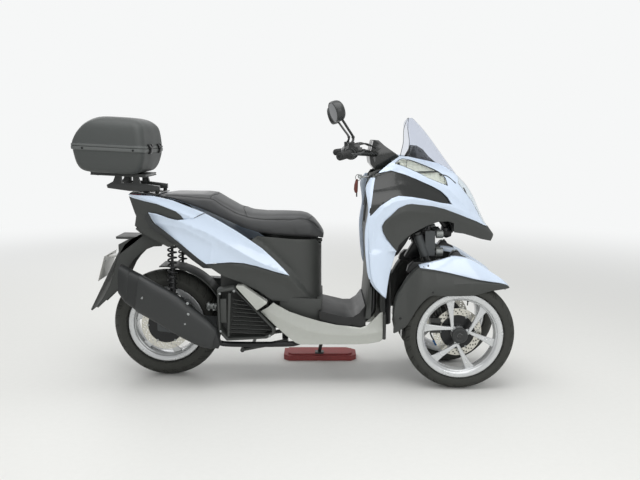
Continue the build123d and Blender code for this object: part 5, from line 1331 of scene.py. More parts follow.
# ---- Seat ---------------------------------------------------------------------------------------------
@dataclass
class Seat:
    """Padded two-level seat in embossed vinyl, its cover swollen by simulation and then sewn."""

    top: tuple = ((-600, 874), (-540, 876), (-459, 876), (-400, 876), (-359, 871), (-314, 843), (-253, 809),
                  (-190, 790), (-128, 784), (-44, 784), (30, 782), (65, 776), (94, 758), (123, 724),
                  (138, 700))
    low: tuple = ((-600, 860), (-540, 852), (-467, 829), (-397, 803), (-320, 766), (-231, 724), (-157, 700),
                  (-97, 689), (3, 679), (115, 671), (138, 664))
    plan: tuple = ((-600, 110), (-560, 128), (-460, 140), (-380, 146), (-300, 146), (-220, 143), (-140, 138),
                   (-60, 128), (20, 114), (80, 96), (120, 74), (138, 56))
    rear: int = -600
    nose: int = 138
    step: float = 8.0
    cap: float = 7.0            # most that the swelling may move the cover
    frames: int = 20            # length of the swelling
    held: float = 6.0           # height over the base that does not swell
    tail_x: float = -0.594      # metres; nothing swells behind this
    seam: float = 5.0           # width of the dip along a seam
    tuck: float = 2.6           # its depth
    columns: int = 40
    edge: float = 0.86          # share of the half width at which the top panel ends
    across: tuple = ((-372, 22), (-205, -26), (70, 16))     # seams over the seat, and how far they bow
    cover: tuple = (("quality", 6), ("mass", 0.3), ("tension_stiffness", 20), ("compression_stiffness", 20),
                    ("shear_stiffness", 10), ("bending_stiffness", 1.5), ("use_pressure", True),
                    ("uniform_pressure_force", 4.0), ("vertex_group_mass", "base"))

    def ring(self, x: float, shrink: float = 0.0) -> list[Vector]:
        """Closed section of the seat at x."""
        high = level_at(self.top, x) - shrink
        low = level_at(self.low, x) + shrink
        wide = level_at(self.plan, x) - shrink
        tall = high - low
        crown = min(14.0, tall * 0.25)
        half = [(0.0, low), (0.5, low), (0.86, low), (0.97, low + tall * 0.12), (1.0, low + tall * 0.4),
                (0.97, low + tall * 0.66), (0.88, high - crown), (0.7, high - crown * 0.45),
                (0.4, high - crown * 0.1), (0.0, high)]
        loop = [(s, z) for s, z in half] + [(-s, z) for s, z in half[1:-1][::-1]]
        smooth = curve_through([(s * wide, z, 0) for s, z in loop], 8, closed=True)
        pick = [smooth[round(k * len(smooth) / self.columns) % len(smooth)] for k in range(self.columns)]
        return [Vector((x, p.x, p.y)) for p in pick]

    def build(self) -> None:
        """Loft the foam, swell the cover, sew its seams."""
        length = self.nose - self.rear
        count = round(length / self.step)
        stations = [self.rear + length * k / count for k in range(count + 1)]
        rings = [self.ring(x, 3.0) for x in stations]
        for end, inward in ((rings[0], -1), (rings[-1], 1)):
            middle = sum(end, Vector()) / len(end)
            caps = [[middle.lerp(p, share) + Vector((inward * 3 * (1 - share), 0, 0)) for p in end]
                    for share in (0.75, 0.4, 0.05)]
            rings = (caps[::-1] + rings) if inward < 0 else (rings + caps)
        piece = Shape().loft(rings).build("seat_cushion", doubles=0.0001)
        self.swell(piece)
        subdivided(piece, 1)
        seams = self.seams(piece)
        self.sew(piece, seams)
        dress(piece, VINYL, "seat", "seat", angle=60)
        for k, line in enumerate(seams):
            tube(f"seat_seam_{k}", [p / MM for p in line[::3] + [line[-1]]], 0.9, RUBBER, "seat", 6)

    def swell(self, piece: Piece) -> None:
        """Blow the cover up against its own stretch, held along the base."""
        before = [v.co.copy() for v in piece.data.vertices]
        base = piece.vertex_groups.new(name="base")
        held = [v.index for v in piece.data.vertices
                if v.co.z < level_at(self.low, v.co.x / MM) * MM + self.held * MM or v.co.x < self.tail_x]
        base.add(held, 1.0, "REPLACE")
        modifier = piece.modifiers.new("cover", "CLOTH")
        cloth = modifier.settings
        for setting, value in self.cover:
            setattr(cloth, setting, value)
        cloth.effector_weights.gravity = 0.0
        modifier.point_cache.frame_start = 1
        modifier.point_cache.frame_end = self.frames
        scene = bpy.context.scene
        for k in range(1, self.frames + 1):
            scene.frame_set(k)
        graph = bpy.context.evaluated_depsgraph_get()
        mesh = bpy.data.meshes.new_from_object(piece.evaluated_get(graph))
        for vert, old in zip(mesh.vertices, before):
            move = vert.co - old
            if move.length > self.cap * MM:
                vert.co = old + move.normalized() * self.cap * MM
        set_mesh(piece, mesh)
        scene.frame_set(1)

    def seams(self, piece: Piece) -> list[list[Vector]]:
        """Lines on the cover: the top panel's edges, the step and the nose."""
        tree = BVHTree.FromObject(piece, bpy.context.evaluated_depsgraph_get())
        lines = []
        for side in (-1, 1):
            spots = [-575 + 690 * k / 120 for k in range(121)]
            lines.append([(x, side * (level_at(self.plan, x) * self.edge)) for x in spots])
        for x, bow in self.across:
            wide = level_at(self.plan, x) * self.edge
            lines.append([(x + bow * (1 - t * t), t * wide) for t in (-1 + 2 * k / 40 for k in range(41))])
        found = [[tree.ray_cast(Vector((x * MM, y * MM, 1.0)), Vector((0, 0, -1)))[0] for x, y in line]
                 for line in lines]
        return [[hit for hit in line if hit] for line in found]

    def sew(self, piece: Piece, lines: list[list[Vector]]) -> None:
        """Draw the cover in along the seams."""
        points = [p for line in lines for p in line]
        mesh = piece.data
        normals = [v.normal.copy() for v in mesh.vertices]
        tree = KDTree(len(points))
        for i, p in enumerate(points):
            tree.insert(p, i)
        tree.balance()
        for vert, normal in zip(mesh.vertices, normals):
            distance = tree.find(vert.co)[2] / MM
            if distance < 3 * self.seam:
                vert.co -= normal * self.tuck * MM * math.exp(-(distance / self.seam) ** 2)


# ---- Rear suspension and exhaust ------------------------------------------------------------------------
@dataclass
class Shocks:
    """Pair of dampers with open springs."""

    low: Point = (-552.0, 122.0, 322.0)
    top: Point = (-548.0, 122.0, 690.0)
    coil: float = 18.5
    wire: float = 4.2
    turns: float = 11.5
    span: tuple = (372.0, 648.0)
    bolt_y: float = 146.0

    def build(self) -> None:
        """Make both dampers, their collars, eyes and springs."""
        low, top = Vector(self.low), Vector(self.top)
        along = (top - low).normalized()
        seat = low + along * (self.span[0] - low.z)
        cap = low + along * (self.span[1] - low.z)
        body = Shape().spun([(-20, 9), (-14, 15), (14, 15), (22, 14), (50, 14), (180, 14), (184, 12),
                             (186, 6.5), (cap.z - low.z + 18, 6.5), (cap.z - low.z + 20, 10),
                             (top.z - low.z - 14, 15), (top.z - low.z + 12, 15), (top.z - low.z + 18, 9)],
                             low, along, 28)
        body.both_sides()
        body.put("shock_bodies", BLACK_STEEL, "chassis", "rear_shocks", ease=1.0, sharp=40)
        collars = Shape()
        for place, away in ((seat, 1), (cap, -1)):
            collars.spun([(-6 * away, 13), (-6 * away, 22), (0, 22), (3 * away, 20), (3 * away, 13)], place,
                         along, 28)
        collars.both_sides().put("shock_spring_seats", ENAMEL, "chassis", ease=1.0, sharp=40)
        for side in (-1, 1):
            foot = Vector((seat.x, seat.y * side, seat.z)) * MM
            tag = "left" if side > 0 else "right"
            spring = grown(Shape().box((0, 0, 0), (1, 1, 1)).build(f"shock_spring_{tag}"), Tree.COIL,
                           BLACK_STEEL,
                           Turns=self.turns, Radius=self.coil * MM, Height=(cap - seat).length * MM,
                           Wire=self.wire * MM, Foot=foot, Lean=(0, math.atan2(along.x, along.z), 0))
            dress(spring, BLACK_STEEL, "chassis")
        places = [((p.x, side * self.bolt_y, p.z), (0, side, 0)) for p in (low, top) for side in (-1, 1)]
        bolts("shock_bolts", places, 7.0, BRIGHT_STEEL, "chassis")


@dataclass
class Silencer:
    """Tapered silencer with an end cap, a heat shield and its bolts."""

    upper: tuple = ((-763, 572), (-722, 550), (-675, 526), (-622, 494), (-560, 459), (-509, 428),
                    (-452, 380), (-405, 341), (-372, 312), (-340, 276), (-322, 212))
    lower: tuple = ((-772, 440), (-742, 396), (-698, 360), (-640, 327), (-580, 291), (-530, 258),
                    (-484, 232), (-440, 208), (-405, 194), (-365, 186), (-336, 184))
    middle_y: float = -201.0
    half_y: float = 42.0
    power: float = 0.62         # 1 makes an ellipse, less makes it squarer
    waist: int = 6              # station from which the can narrows
    narrowing: float = 0.11     # share lost at each station past the waist
    around: int = 32

    def section(self, i: int, grow: float = 0.0) -> list[Vector]:
        """Rounded section between the upper and lower lines, across the scooter."""
        up = Vector((self.upper[i][0], 0, self.upper[i][1]))
        low = Vector((self.lower[i][0], 0, self.lower[i][1]))
        middle, reach = (up + low) / 2, (up - low) / 2
        reach = reach * (1 + grow / reach.length)
        wide = self.half_y * (1.0 - self.narrowing * max(0, i - self.waist)) + grow
        points = []
        for k in range(self.around):
            a = 2 * math.pi * k / self.around
            c, s = math.cos(a), math.sin(a)
            across = math.copysign(abs(c) ** self.power, c) * wide
            up_share = math.copysign(abs(s) ** self.power, s)
            points.append(middle + reach * up_share + Vector((0, self.middle_y + across, 0)))
        return points

    def build(self) -> None:
        """Make the can, its cap, the shield and the outlet."""
        can = Shape().loft([self.section(i, -2.0) for i in range(11)])
        can.put("silencer_can", HEAT_BLACK, "chassis", "exhaust", ease=3.0, cuts=3, sharp=50, angle=40)
        cap = [self.section(0, -8), self.section(0, -1), self.section(1)]
        rim = Shape().loft([[p + Vector((3, 0, 0)) for p in cap[0]], cap[1], cap[2],
                            [p + Vector((6, 0, -3)) for p in self.section(1, -2)]])
        rim.put("silencer_end_cap", HEAT_BLACK, "chassis", ease=1.5, sharp=40, angle=40)
        shield = Shape()
        rings = []
        for i in range(2, 10):
            ring = self.section(i, 0.6)
            rings.append([p for k, p in enumerate(ring) if 9 <= k <= 23])
        shield.loft(rings, wrap=False, cap=False)
        plate = walled(shield.build("silencer_heat_shield"), 2.0, 0.0)
        dress(eased(plate, 0.8, angle=45), SHIELD_ABS, "chassis", angle=35)
        outlet = Shape().spun([(0, 14), (14, 14), (14, 11), (2, 11)], (-757, -214, 486), (-1, 0, 0.5), 28,
                              closed=True)
        outlet.put("silencer_outlet", BLACK_STEEL, "chassis")
        places = [((x, y, z), (0, -1, 0))
                  for x, y, z in ((-662, -243.4, 428), (-463, -240.5, 402), (-461, -241.5, 353),
                                 (-476, -241.5, 309))]
        bolts("silencer_bolts", places, 4.5, BRIGHT_STEEL, "chassis")
        header = [(-372, -189, 228), (-340, -172, 205), (-300, -158, 192), (-160, -158, 190),
                  (-20, -158, 192), (14, -145, 193), (34, -120, 196), (34, -60, 206), (4, -30, 228),
                  (4, -30, 296)]
        tube("exhaust_header", header, 12.6, BLACK_STEEL, sides=20)


@dataclass
class RadiatorCover:
    """Moulded radiator cover with sloping louvres in a rim."""

    outline: tuple = ((-340, 452), (-264, 466), (-80, 272), (-80, 248), (-118, 226), (-300, 216),
                      (-340, 262))
    face: float = -196.0
    back: float = -131.0
    louvres: int = 9

    def inset(self, distance: float) -> list[tuple[float, float]]:
        """Outline moved inwards."""
        points = [Vector(p) for p in self.outline]
        middle = sum(points, Vector((0, 0))) / len(points)
        return [tuple(p + (middle - p).normalized() * distance) for p in points]

    def span(self, z: float) -> tuple[float, float]:
        """Inside of the inset outline at a height."""
        edge = self.inset(20)
        hits = []
        for (x0, z0), (x1, z1) in zip(edge, edge[1:] + edge[:1]):
            if (z0 - z) * (z1 - z) < 0:
                hits.append(x0 + (x1 - x0) * (z - z0) / (z1 - z0))
        return (min(hits), max(hits)) if len(hits) > 1 else (0.0, 0.0)

    def build(self) -> None:
        """Make the rim, the recessed plate and the louvres."""
        outer, inner, floor = self.outline, self.inset(14), self.inset(18)
        rings = [[(x, self.back, z) for x, z in outer], [(x, self.face + 8, z) for x, z in outer],
                 [(x, self.face, z) for x, z in self.inset(5)], [(x, self.face, z) for x, z in inner],
                 [(x, self.face + 16, z) for x, z in floor], [(x, self.back + 8, z) for x, z in floor]]
        rim = Shape().loft(rings).build("radiator_cover_shell")
        dress(eased(rim, 2.5, 3, angle=25), DARK_ABS, "chassis", "radiator_cover", angle=40)
        slats = Shape()
        for k in range(self.louvres):
            z = 252 + 19 * k
            x0, x1 = self.span(z)
            x0 = max(x0, -282 + 2 * k)
            if x1 - x0 > 24:
                slats.loft([[(x, self.face + 3, z + 2 + slope), (x, self.face + 5, z - 2 + slope),
                             (x, self.face + 18, z - 9 + slope), (x, self.face + 18, z - 5 + slope)]
                            for x, slope in ((x0, 4), (x1, -4))])
        slats.put("radiator_louvres", GLOSS_ABS, "chassis", ease=0.8)
        post = Shape().prism([(-296, 236), (-286, 238), (-276, 436), (-288, 440)], self.face + 16,
                             self.face + 1)
        post.prism([(-326, 300), (-298, 300), (-298, 410), (-326, 410)], self.face + 16, self.face + 7)
        post.put("radiator_post", DARK_ABS, "chassis", ease=1.5)
        places = [((x, self.face - 0.5, z), (0, -1, 0))
                  for x, z in ((-326, 436), (-326, 262), (-104, 240), (-262, 448))]
        bolts("radiator_screws", places, 4.2, BRIGHT_STEEL, "chassis")


# ---- Mirrors and controls -----------------------------------------------------------------------------
@dataclass
class Mirror:
    """Egg-shaped mirror on a bent stem."""

    side: int
    centre: Point = (196.0, 309.0, 1238.0)
    path: tuple = ((258, 245, 1086), (261, 238, 1106), (265, 227, 1130), (240, 262, 1168), (214, 298, 1206),
                   (204, 306, 1222))
    wide: float = 63.0
    tall: float = 46.0
    taper: float = 0.06         # how much lower the head is at its outer end
    around: int = 40

    def ring(self, depth: float, share: float) -> list[Vector]:
        """Egg outline, depth along the mirror's aim, its size by a share."""
        aim = Vector((1, -0.25, 0.3)).normalized()
        across = Vector((0.25, 1, 0))
        across = (across - aim * across.dot(aim)).normalized()
        up = aim.cross(across)
        points = []
        for k in range(self.around):
            a = 2 * math.pi * k / self.around
            c, s = math.cos(a), math.sin(a)
            flat = 1 - self.taper * (1 + c) / 2
            p = Vector(self.centre) + aim * depth + across * c * self.wide * share
            p = p + up * s * self.tall * share * flat
            points.append(Vector((p.x, p.y * self.side, p.z)))
        return points

    def build(self) -> None:
        """Make the shell, the glass and the stem."""
        tag = "left" if self.side > 0 else "right"
        levels = ((-19, 0.86), (-21.5, 0.9), (-21.5, 0.95), (-18, 0.985), (-10, 1.0), (-1, 0.995), (7, 0.97),
                  (14, 0.9), (19, 0.76), (22, 0.54), (23.2, 0.28), (23.6, 0.05))
        shell = Shape().loft([self.ring(depth, share) for depth, share in levels])
        nodes = ["mirrors"] if self.side > 0 else []
        shell.put(f"mirror_{tag}_shell", MIRROR_SHELL, "steering", *nodes, ease=0.8, angle=40)
        glass = Shape().loft([self.ring(-20.4, 0.5), self.ring(-20.2, 0.84), self.ring(-18.4, 0.86)])
        glass.put(f"mirror_{tag}_glass", MIRROR_GLASS, "steering", angle=40)
        points = [(x, y * self.side, z) for x, y, z in self.path]
        tube(f"mirror_{tag}_stem", points, 5.4, ENAMEL, "steering")
        foot, second = Vector(points[0]), Vector(points[1])
        nut = Shape().spun([(-2, 9), (6, 9), (8, 10.5), (18, 10.5), (20, 8), (26, 7)], foot, second - foot,
                           6)
        ball = Shape().ball(points[2], (7.6, 7.6, 7.6), 20)
        boot = Shape().spun([(0, 6), (3, 9), (12, 10), (20, 9), (24, 6.4)], Vector(points[4]),
                            Vector(points[5]) - Vector(points[4]), 20)
        for name, shape, finish in (("nut", nut, BLACK_STEEL), ("joint", ball, ENAMEL),
                                    ("boot", boot, RUBBER)):
            shape.put(f"mirror_{tag}_{name}", finish, "steering", ease=0.6)


@dataclass
class Controls:
    """Grip, switch housing, reservoir and brake lever at one end of the bar."""

    side: int
    tip: Point = (203.0, 372.0, 1051.0)
    knee: Point = (268.0, 222.0, 1063.0)

    def flipped(self, spot: Sequence[float]) -> Vector:
        """A point of the left bar end, on this side."""
        return Vector((spot[0], spot[1] * self.side, spot[2]))

    def build(self) -> None:
        """Make the controls."""
        tag = "left" if self.side > 0 else "right"
        tip = self.flipped(self.tip)
        out = (tip - self.flipped(self.knee)).normalized()
        ribs = [(3, 14.5), (5, 16.8)]
        for k in range(13):
            ribs += [(8 + k * 8, 16.8), (9.5 + k * 8, 15.2), (12 + k * 8, 15.2), (13.5 + k * 8, 16.8)]
        rubber = Shape().spun(ribs + [(114, 16.8), (115, 17), (118, 17), (118, 14)], tip, -out, 32)
        nodes = ["grips"] if self.side > 0 else []
        rubber.put(f"grip_{tag}", RUBBER, "steering", *nodes, angle=40)
        body = [(119.4, 20), (120.5, 25.5), (134, 27.5), (135, 25.5), (138, 25.5), (139, 27.5), (158, 25),
                (162, 18)]
        case = Shape().spun(body, tip, -out, 28)
        root = tip - out * 146
        up = Vector((0, 0, 1))
        ahead = self.flipped((0.72, 0.3, 0.12)).normalized()
        for at, size in ((root + ahead * 8 + up * 26, (25, 17, 12)),
                         (root + ahead * 26 + up * 10, (18, 12, 12)),
                         (root + out * 14 - ahead * 20 + up * 8, (4, 6, 4)),
                         (root + out * 14 - ahead * 21 - up * 6, (4, 5, 3)),
                         (root - out * 2 - ahead * 20 + up * 2, (5, 5, 6))):
            low, high = at - Vector((size[0], 0, size[2])), at + Vector((size[0], 0, size[2]))
            case.box((low.x, at.y - size[1], low.z), (high.x, at.y + size[1], high.z))
        nodes = ["brake_levers"] if self.side > 0 else []
        case.put(f"switch_housing_{tag}", GLOSS_ABS, "steering", *nodes, ease=2.2, angle=40)
        lid = Shape().box(tuple(root + ahead * 8 + up * 38 - Vector((26, 18, 0))),
                          tuple(root + ahead * 8 + up * 38 + Vector((26, 18, 4.5))))
        lid.put(f"reservoir_lid_{tag}", ENAMEL, "steering", ease=1.6)
        top = root + ahead * 8 + up * 42.5
        bolts(f"reservoir_screws_{tag}", [(top + Vector((x, 0, 0)), (0, 0, 1)) for x in (-19, 19)], 2.4,
              BRIGHT_STEEL, "steering")
        pivot = root + self.flipped((46, 16, 8))
        end = tip + self.flipped((56, -14, 8))
        mid = pivot.lerp(end, 0.45) + self.flipped((9, 0, -2))
        tube(f"brake_lever_{tag}", [root + ahead * 12, pivot, mid, end], 4.6, ENAMEL, "steering", 14)
        knob = Shape().ball(tuple(end), (7.4, 7.4, 7.4), 20)
        knob.rod(pivot - up * 11, pivot + up * 11, 8, 20, 1.5)
        knob.put(f"brake_lever_{tag}_ends", ENAMEL, "steering")
        for k, drop in enumerate((0, 16)):
            start = root - out * 6 + up * (16 - drop)
            stop = self.flipped((386, 92 - 8 * k, 1072 - drop))
            loop = start.lerp(stop, 0.45) + up * (26 - drop) + self.flipped((6 + 8 * k, 0, 0))
            line = [start, start + up * 8 - out * 18, loop, stop]
            tube(f"bar_hose_{tag}_{k}", line, 3.4, RUBBER, "steering", 10)


# ---- Small things of the front --------------------------------------------------------------------------
@dataclass
class CowlTrim:
    """What shows behind the lenses and the screen, the key, and the works behind the cowl."""

    low: tuple = ((454, 1014), (488, 1004), (564, 971), (611, 946), (699, 912))
    high: tuple = ((454, 1016), (484, 1034), (529, 1026), (579, 1008), (631, 987), (669, 967), (690, 945),
                   (699, 914))
    nose: tuple = ((735, 889), (780, 860), (860, 822), (935, 765))
    #  half width and side view of each casting round the head tube
    castings: tuple = (
        (48, ((560, 736), (584, 752), (632, 752), (638, 728), (610, 716), (576, 716))),
        (26, ((520, 572), (560, 640), (604, 722), (640, 724), (636, 640), (596, 572))),
        (56, ((440, 560), (450, 640), (486, 694), (540, 716), (548, 690), (520, 640), (486, 590))),
        (44, ((548, 690), (566, 724), (598, 728), (604, 700), (580, 682))),
        (19, ((594, 742), (604, 766), (646, 772), (692, 758), (724, 728), (728, 690), (712, 664),
              (694, 668), (696, 716), (680, 738))),
        (36, ((692, 676), (696, 712), (722, 716), (738, 700), (734, 672), (710, 664))))

    def __post_init__(self) -> None:
        """Set the cowl's panels up as the target for rays."""
        self.skin = Flank("front_cowl", "position_lamps", "headlamp", "cowl_side_panels")

    def flank(self, x: float, z: float) -> float:
        """Half width of the cowl at a point of its side view."""
        return self.skin.at(x, z, 60.0)

    def lamps(self) -> None:
        """Fluted cream reflectors, their black trim and end caps, on both sides."""
        reflector = Shape()
        rows = []
        for i in range(41):
            x = 456 + 240 * i / 40
            z0, z1 = level_at(self.low, x) + 1.5, level_at(self.high, x) - 1.5
            flute = 1.6 * (1 + math.cos(i * math.pi / 2))
            spots = [(z0 + (z1 - z0) * k / 5, 7 * math.sin(math.pi * k / 5)) for k in range(6)]
            rows.append([(x, self.flank(x, z) - 8 - flute - hollow, z) for z, hollow in spots])
        reflector.loft(rows, wrap=False, cap=False).both_sides()
        piece = bake(walled(reflector.build("position_lamp_reflectors"), 1.5))
        dress(piece, LAMP_CREAM, "chassis", angle=50)
        for side in (-1, 1):
            for name, line, lift in (("upper", self.high, 1.0), ("lower", self.low, -1.0)):
                path = [(x, (self.flank(x, z) - 0.6) * side, z + lift) for x, z in line]
                tube(f"position_lamp_trim_{name}_{side + 1}", path, 1.5, BLACK_STEEL, sides=8)
            caps = [((x, (self.flank(x, z) - 2) * side, z), (0.3, side, 0.2))
                    for x, z in ((684, 917), (470, 1014))]
            bolts(f"position_lamp_caps_{side + 1}", caps, 4.0, BLACK_STEEL, "chassis")

    def headlamp(self) -> None:
        """Housing behind the nose lens with two projector bowls."""
        housing = Shape()
        rows = [[(level_at(self.nose, z) - 7 - abs(y) ** 2 / 110, y, z)
                 for y in (-34, -24, -12, 0, 12, 24, 34)] for z in (738, 765, 800, 840, 880, 920, 940)]
        housing.loft(rows, wrap=False, cap=False)
        dress(bake(walled(housing.build("headlamp_housing"), 2.0)), CHROME, "chassis", angle=50)
        bowls, glasses = Shape(), Shape()
        for z in (800, 872):
            seat = Vector((level_at(self.nose, z) - 18, 0, z))
            aim = Vector((1, 0, 0.35))
            bowls.spun([(-16, 6), (-14, 14), (-4, 22), (5, 25), (5, 22.5), (-4, 19), (-12, 11), (-13, 4)],
                       seat, aim, 32, closed=True)
            glasses.spun([(-2, 20), (2, 18), (5, 12), (6.5, 5), (7, 0.5)], seat, aim, 32)
        bowls.put("headlamp_bowls", BLACK_STEEL, "chassis", angle=40)
        glasses.put("headlamp_projectors", CHROME, "chassis", angle=40)

    def screen(self) -> None:
        """Black bracket behind the screen, the dark edge of the sheet and the slots in the nose."""
        bracket = Shape()
        outline = [(519, 1040), (534, 1066), (546, 1093), (560, 1092), (588, 1075), (616, 1042), (650, 1014),
                   (600, 1008)]
        for low, high in ((-66, -58), (58, 66)):
            bracket.prism(outline, low, high)
        bracket.box((560, -60, 1036), (592, 60, 1046))
        bracket.put("screen_bracket", GLOSS_ABS, "chassis", ease=2.0)
        rear = [(501, 159, 962), (505, 149, 1005), (513, 137, 1054), (521, 117, 1103), (518, 77.5, 1166),
                (527, 20, 1212), (530, 0, 1215)]
        for side in (-1, 1):
            edge = [(x, y * side, z) for x, y, z in rear]
            tube(f"screen_edge_{side + 1}", edge, 1.2, BLACK_STEEL, sides=8)
            slot = [(664, 963), (703, 953), (742, 921)]
            path = [(x, (self.flank(x, z) + 0.2) * side, z) for x, z in slot]
            tube(f"nose_slot_{side + 1}", path, 2.4, BLACK_STEEL, sides=8)

    def key(self) -> None:
        """Ignition barrel with the key, its ring and a leather fob."""
        y = -24
        barrel = Shape().spun([(0, 15), (7, 15), (9, 13), (16, 12), (16, 3), (14, 2)], (366, y, 944),
                              (-1, 0, 0.1), 28)
        barrel.put("ignition_barrel", BLACK_STEEL, "chassis", ease=0.8)
        key = Shape().box((314, y - 1.2, 943), (354, y + 1.2, 952))
        key.spun([(-1.6, 11), (1.6, 11), (1.6, 3), (-1.6, 3)], (308, y, 950), (0, 1, 0), 24, closed=True)
        key.put("ignition_key", BRIGHT_STEEL, "chassis", ease=0.4)
        ring = [(299 + 12 * math.cos(a), y + 2 * math.sin(a), 945 + 14 * math.sin(a))
                for a in (2 * math.pi * k / 12 for k in range(13))]
        tube("key_ring", ring, 1.3, BLACK_STEEL, sides=8)
        fob = Shape().loft([[(290 + lean + w, y + v, z) for w, v in
                             rounded([(-7 * s, -2.4), (7 * s, -2.4), (7 * s, 2.4), (-7 * s, 2.4)], 2, 3)]
                            for z, s, lean in ((938, 0.45, 4), (932, 0.9, 3), (912, 1.25, 0), (890, 1.3, -1),
                                               (878, 1.0, 0), (874, 0.5, 0))])
        fob.put("key_fob", FOB_LEATHER, "chassis")
        blade = Shape().box((290, y - 1, 856), (296, y + 1, 880))
        blade.put("spare_key", BLACK_STEEL, "chassis", ease=0.4)

    def works(self) -> None:
        """Castings, reservoirs, hoses and clips round the head tube, and the dark inner covers, partly real
        fairing and partly painted shade behind the wheels.
        """
        blocks = Shape()
        for half, outline in self.castings:
            blocks.prism(outline, -half, half)
        blocks.put("front_castings", BLACK_STEEL, "chassis", ease=4.0)
        can = Shape()
        for y in (-40, 40):
            can.spun([(0, 10), (3, 12), (30, 12), (32, 10), (40, 10), (42, 8)], (566, y, 650), (0.2, 0, 1),
                     24)
            can.spun([(0, 8), (2, 10), (24, 10), (26, 7)], (612, y * 0.8, 738), (0.1, 0, -1), 24)
        can.put("front_reservoirs", CASE_ALLOY, "chassis")
        for side in (-1, 1):
            for k in range(4):
                x, z = 520 + 20 * k, 706 + 7 * k
                path = [(x - 40, 30 * side, z - 70), (x - 16, (44 + 2 * k) * side, z - 30),
                        (x + 2, (50 - 3 * k) * side, z + 12), (x + 26, (46 - 4 * k) * side, z + 6),
                        (x + 44, 26 * side, z - 22)]
                tube(f"front_hose_{side + 1}_{k}", path, 3.6 + 0.5 * (k % 2), RUBBER, sides=10)
            for k in range(3):
                y, lift = (40 - 8 * k) * side, 10 * k
                path = [(584 + 6 * k, y, 744), (606, y * 1.1, 768 + lift * 0.5), (656, y * 1.1, 776 + lift),
                        (712 + lift, y, 752 + lift * 0.4), (738 + lift * 0.6, y * 0.8, 706),
                        (716, y * 0.5, 670)]
                tube(f"tilt_hose_{side + 1}_{k}", path, 3.8, RUBBER, sides=10)
            clips = [((510 + 32 * k, 50 * side, 676 + 16 * k), (0.2, side, 0.2)) for k in range(4)]
            bolts(f"front_clips_{side + 1}", clips, 4.2, BRIGHT_STEEL, "chassis")
        # Dark inner covers: partly the real fairing, partly a dark filler that stands in as painted shade
        # for the space behind the wheels.
        cover = Shape()
        cover.loft([[(402, -150, z), (416, -100, z), (430, -36, z), (430, 36, z), (416, 100, z),
                     (402, 150, z), (396, 150, z), (396, -150, z)] for z in (236, 600)])
        cover.loft([[(x, y, z)
                     for x, y in ((396, -204), (396, 204), (428, 150), (470, 60), (470, -60), (428, -150))]
                    for z in (604, 660)])
        cover.prism([(326, 322), (352, 322), (356, 470), (340, 470), (334, 400)], -204, 204)
        cover.put("front_inner_covers_and_painted_shade", DARK_ABS, "chassis", ease=3.0)
        keel = Shape().loft([[(x, y, z) for x, y in ((430, -26), (430, 26), (452, 18), (462, 0), (452, -18))]
                             for z in (246, 596)])
        keel.put("front_keel", BLACK_STEEL, "chassis", ease=4.0)

    def build(self) -> None:
        """Make every small thing of the front."""
        self.lamps()
        self.headlamp()
        self.screen()
        self.key()
        self.works()


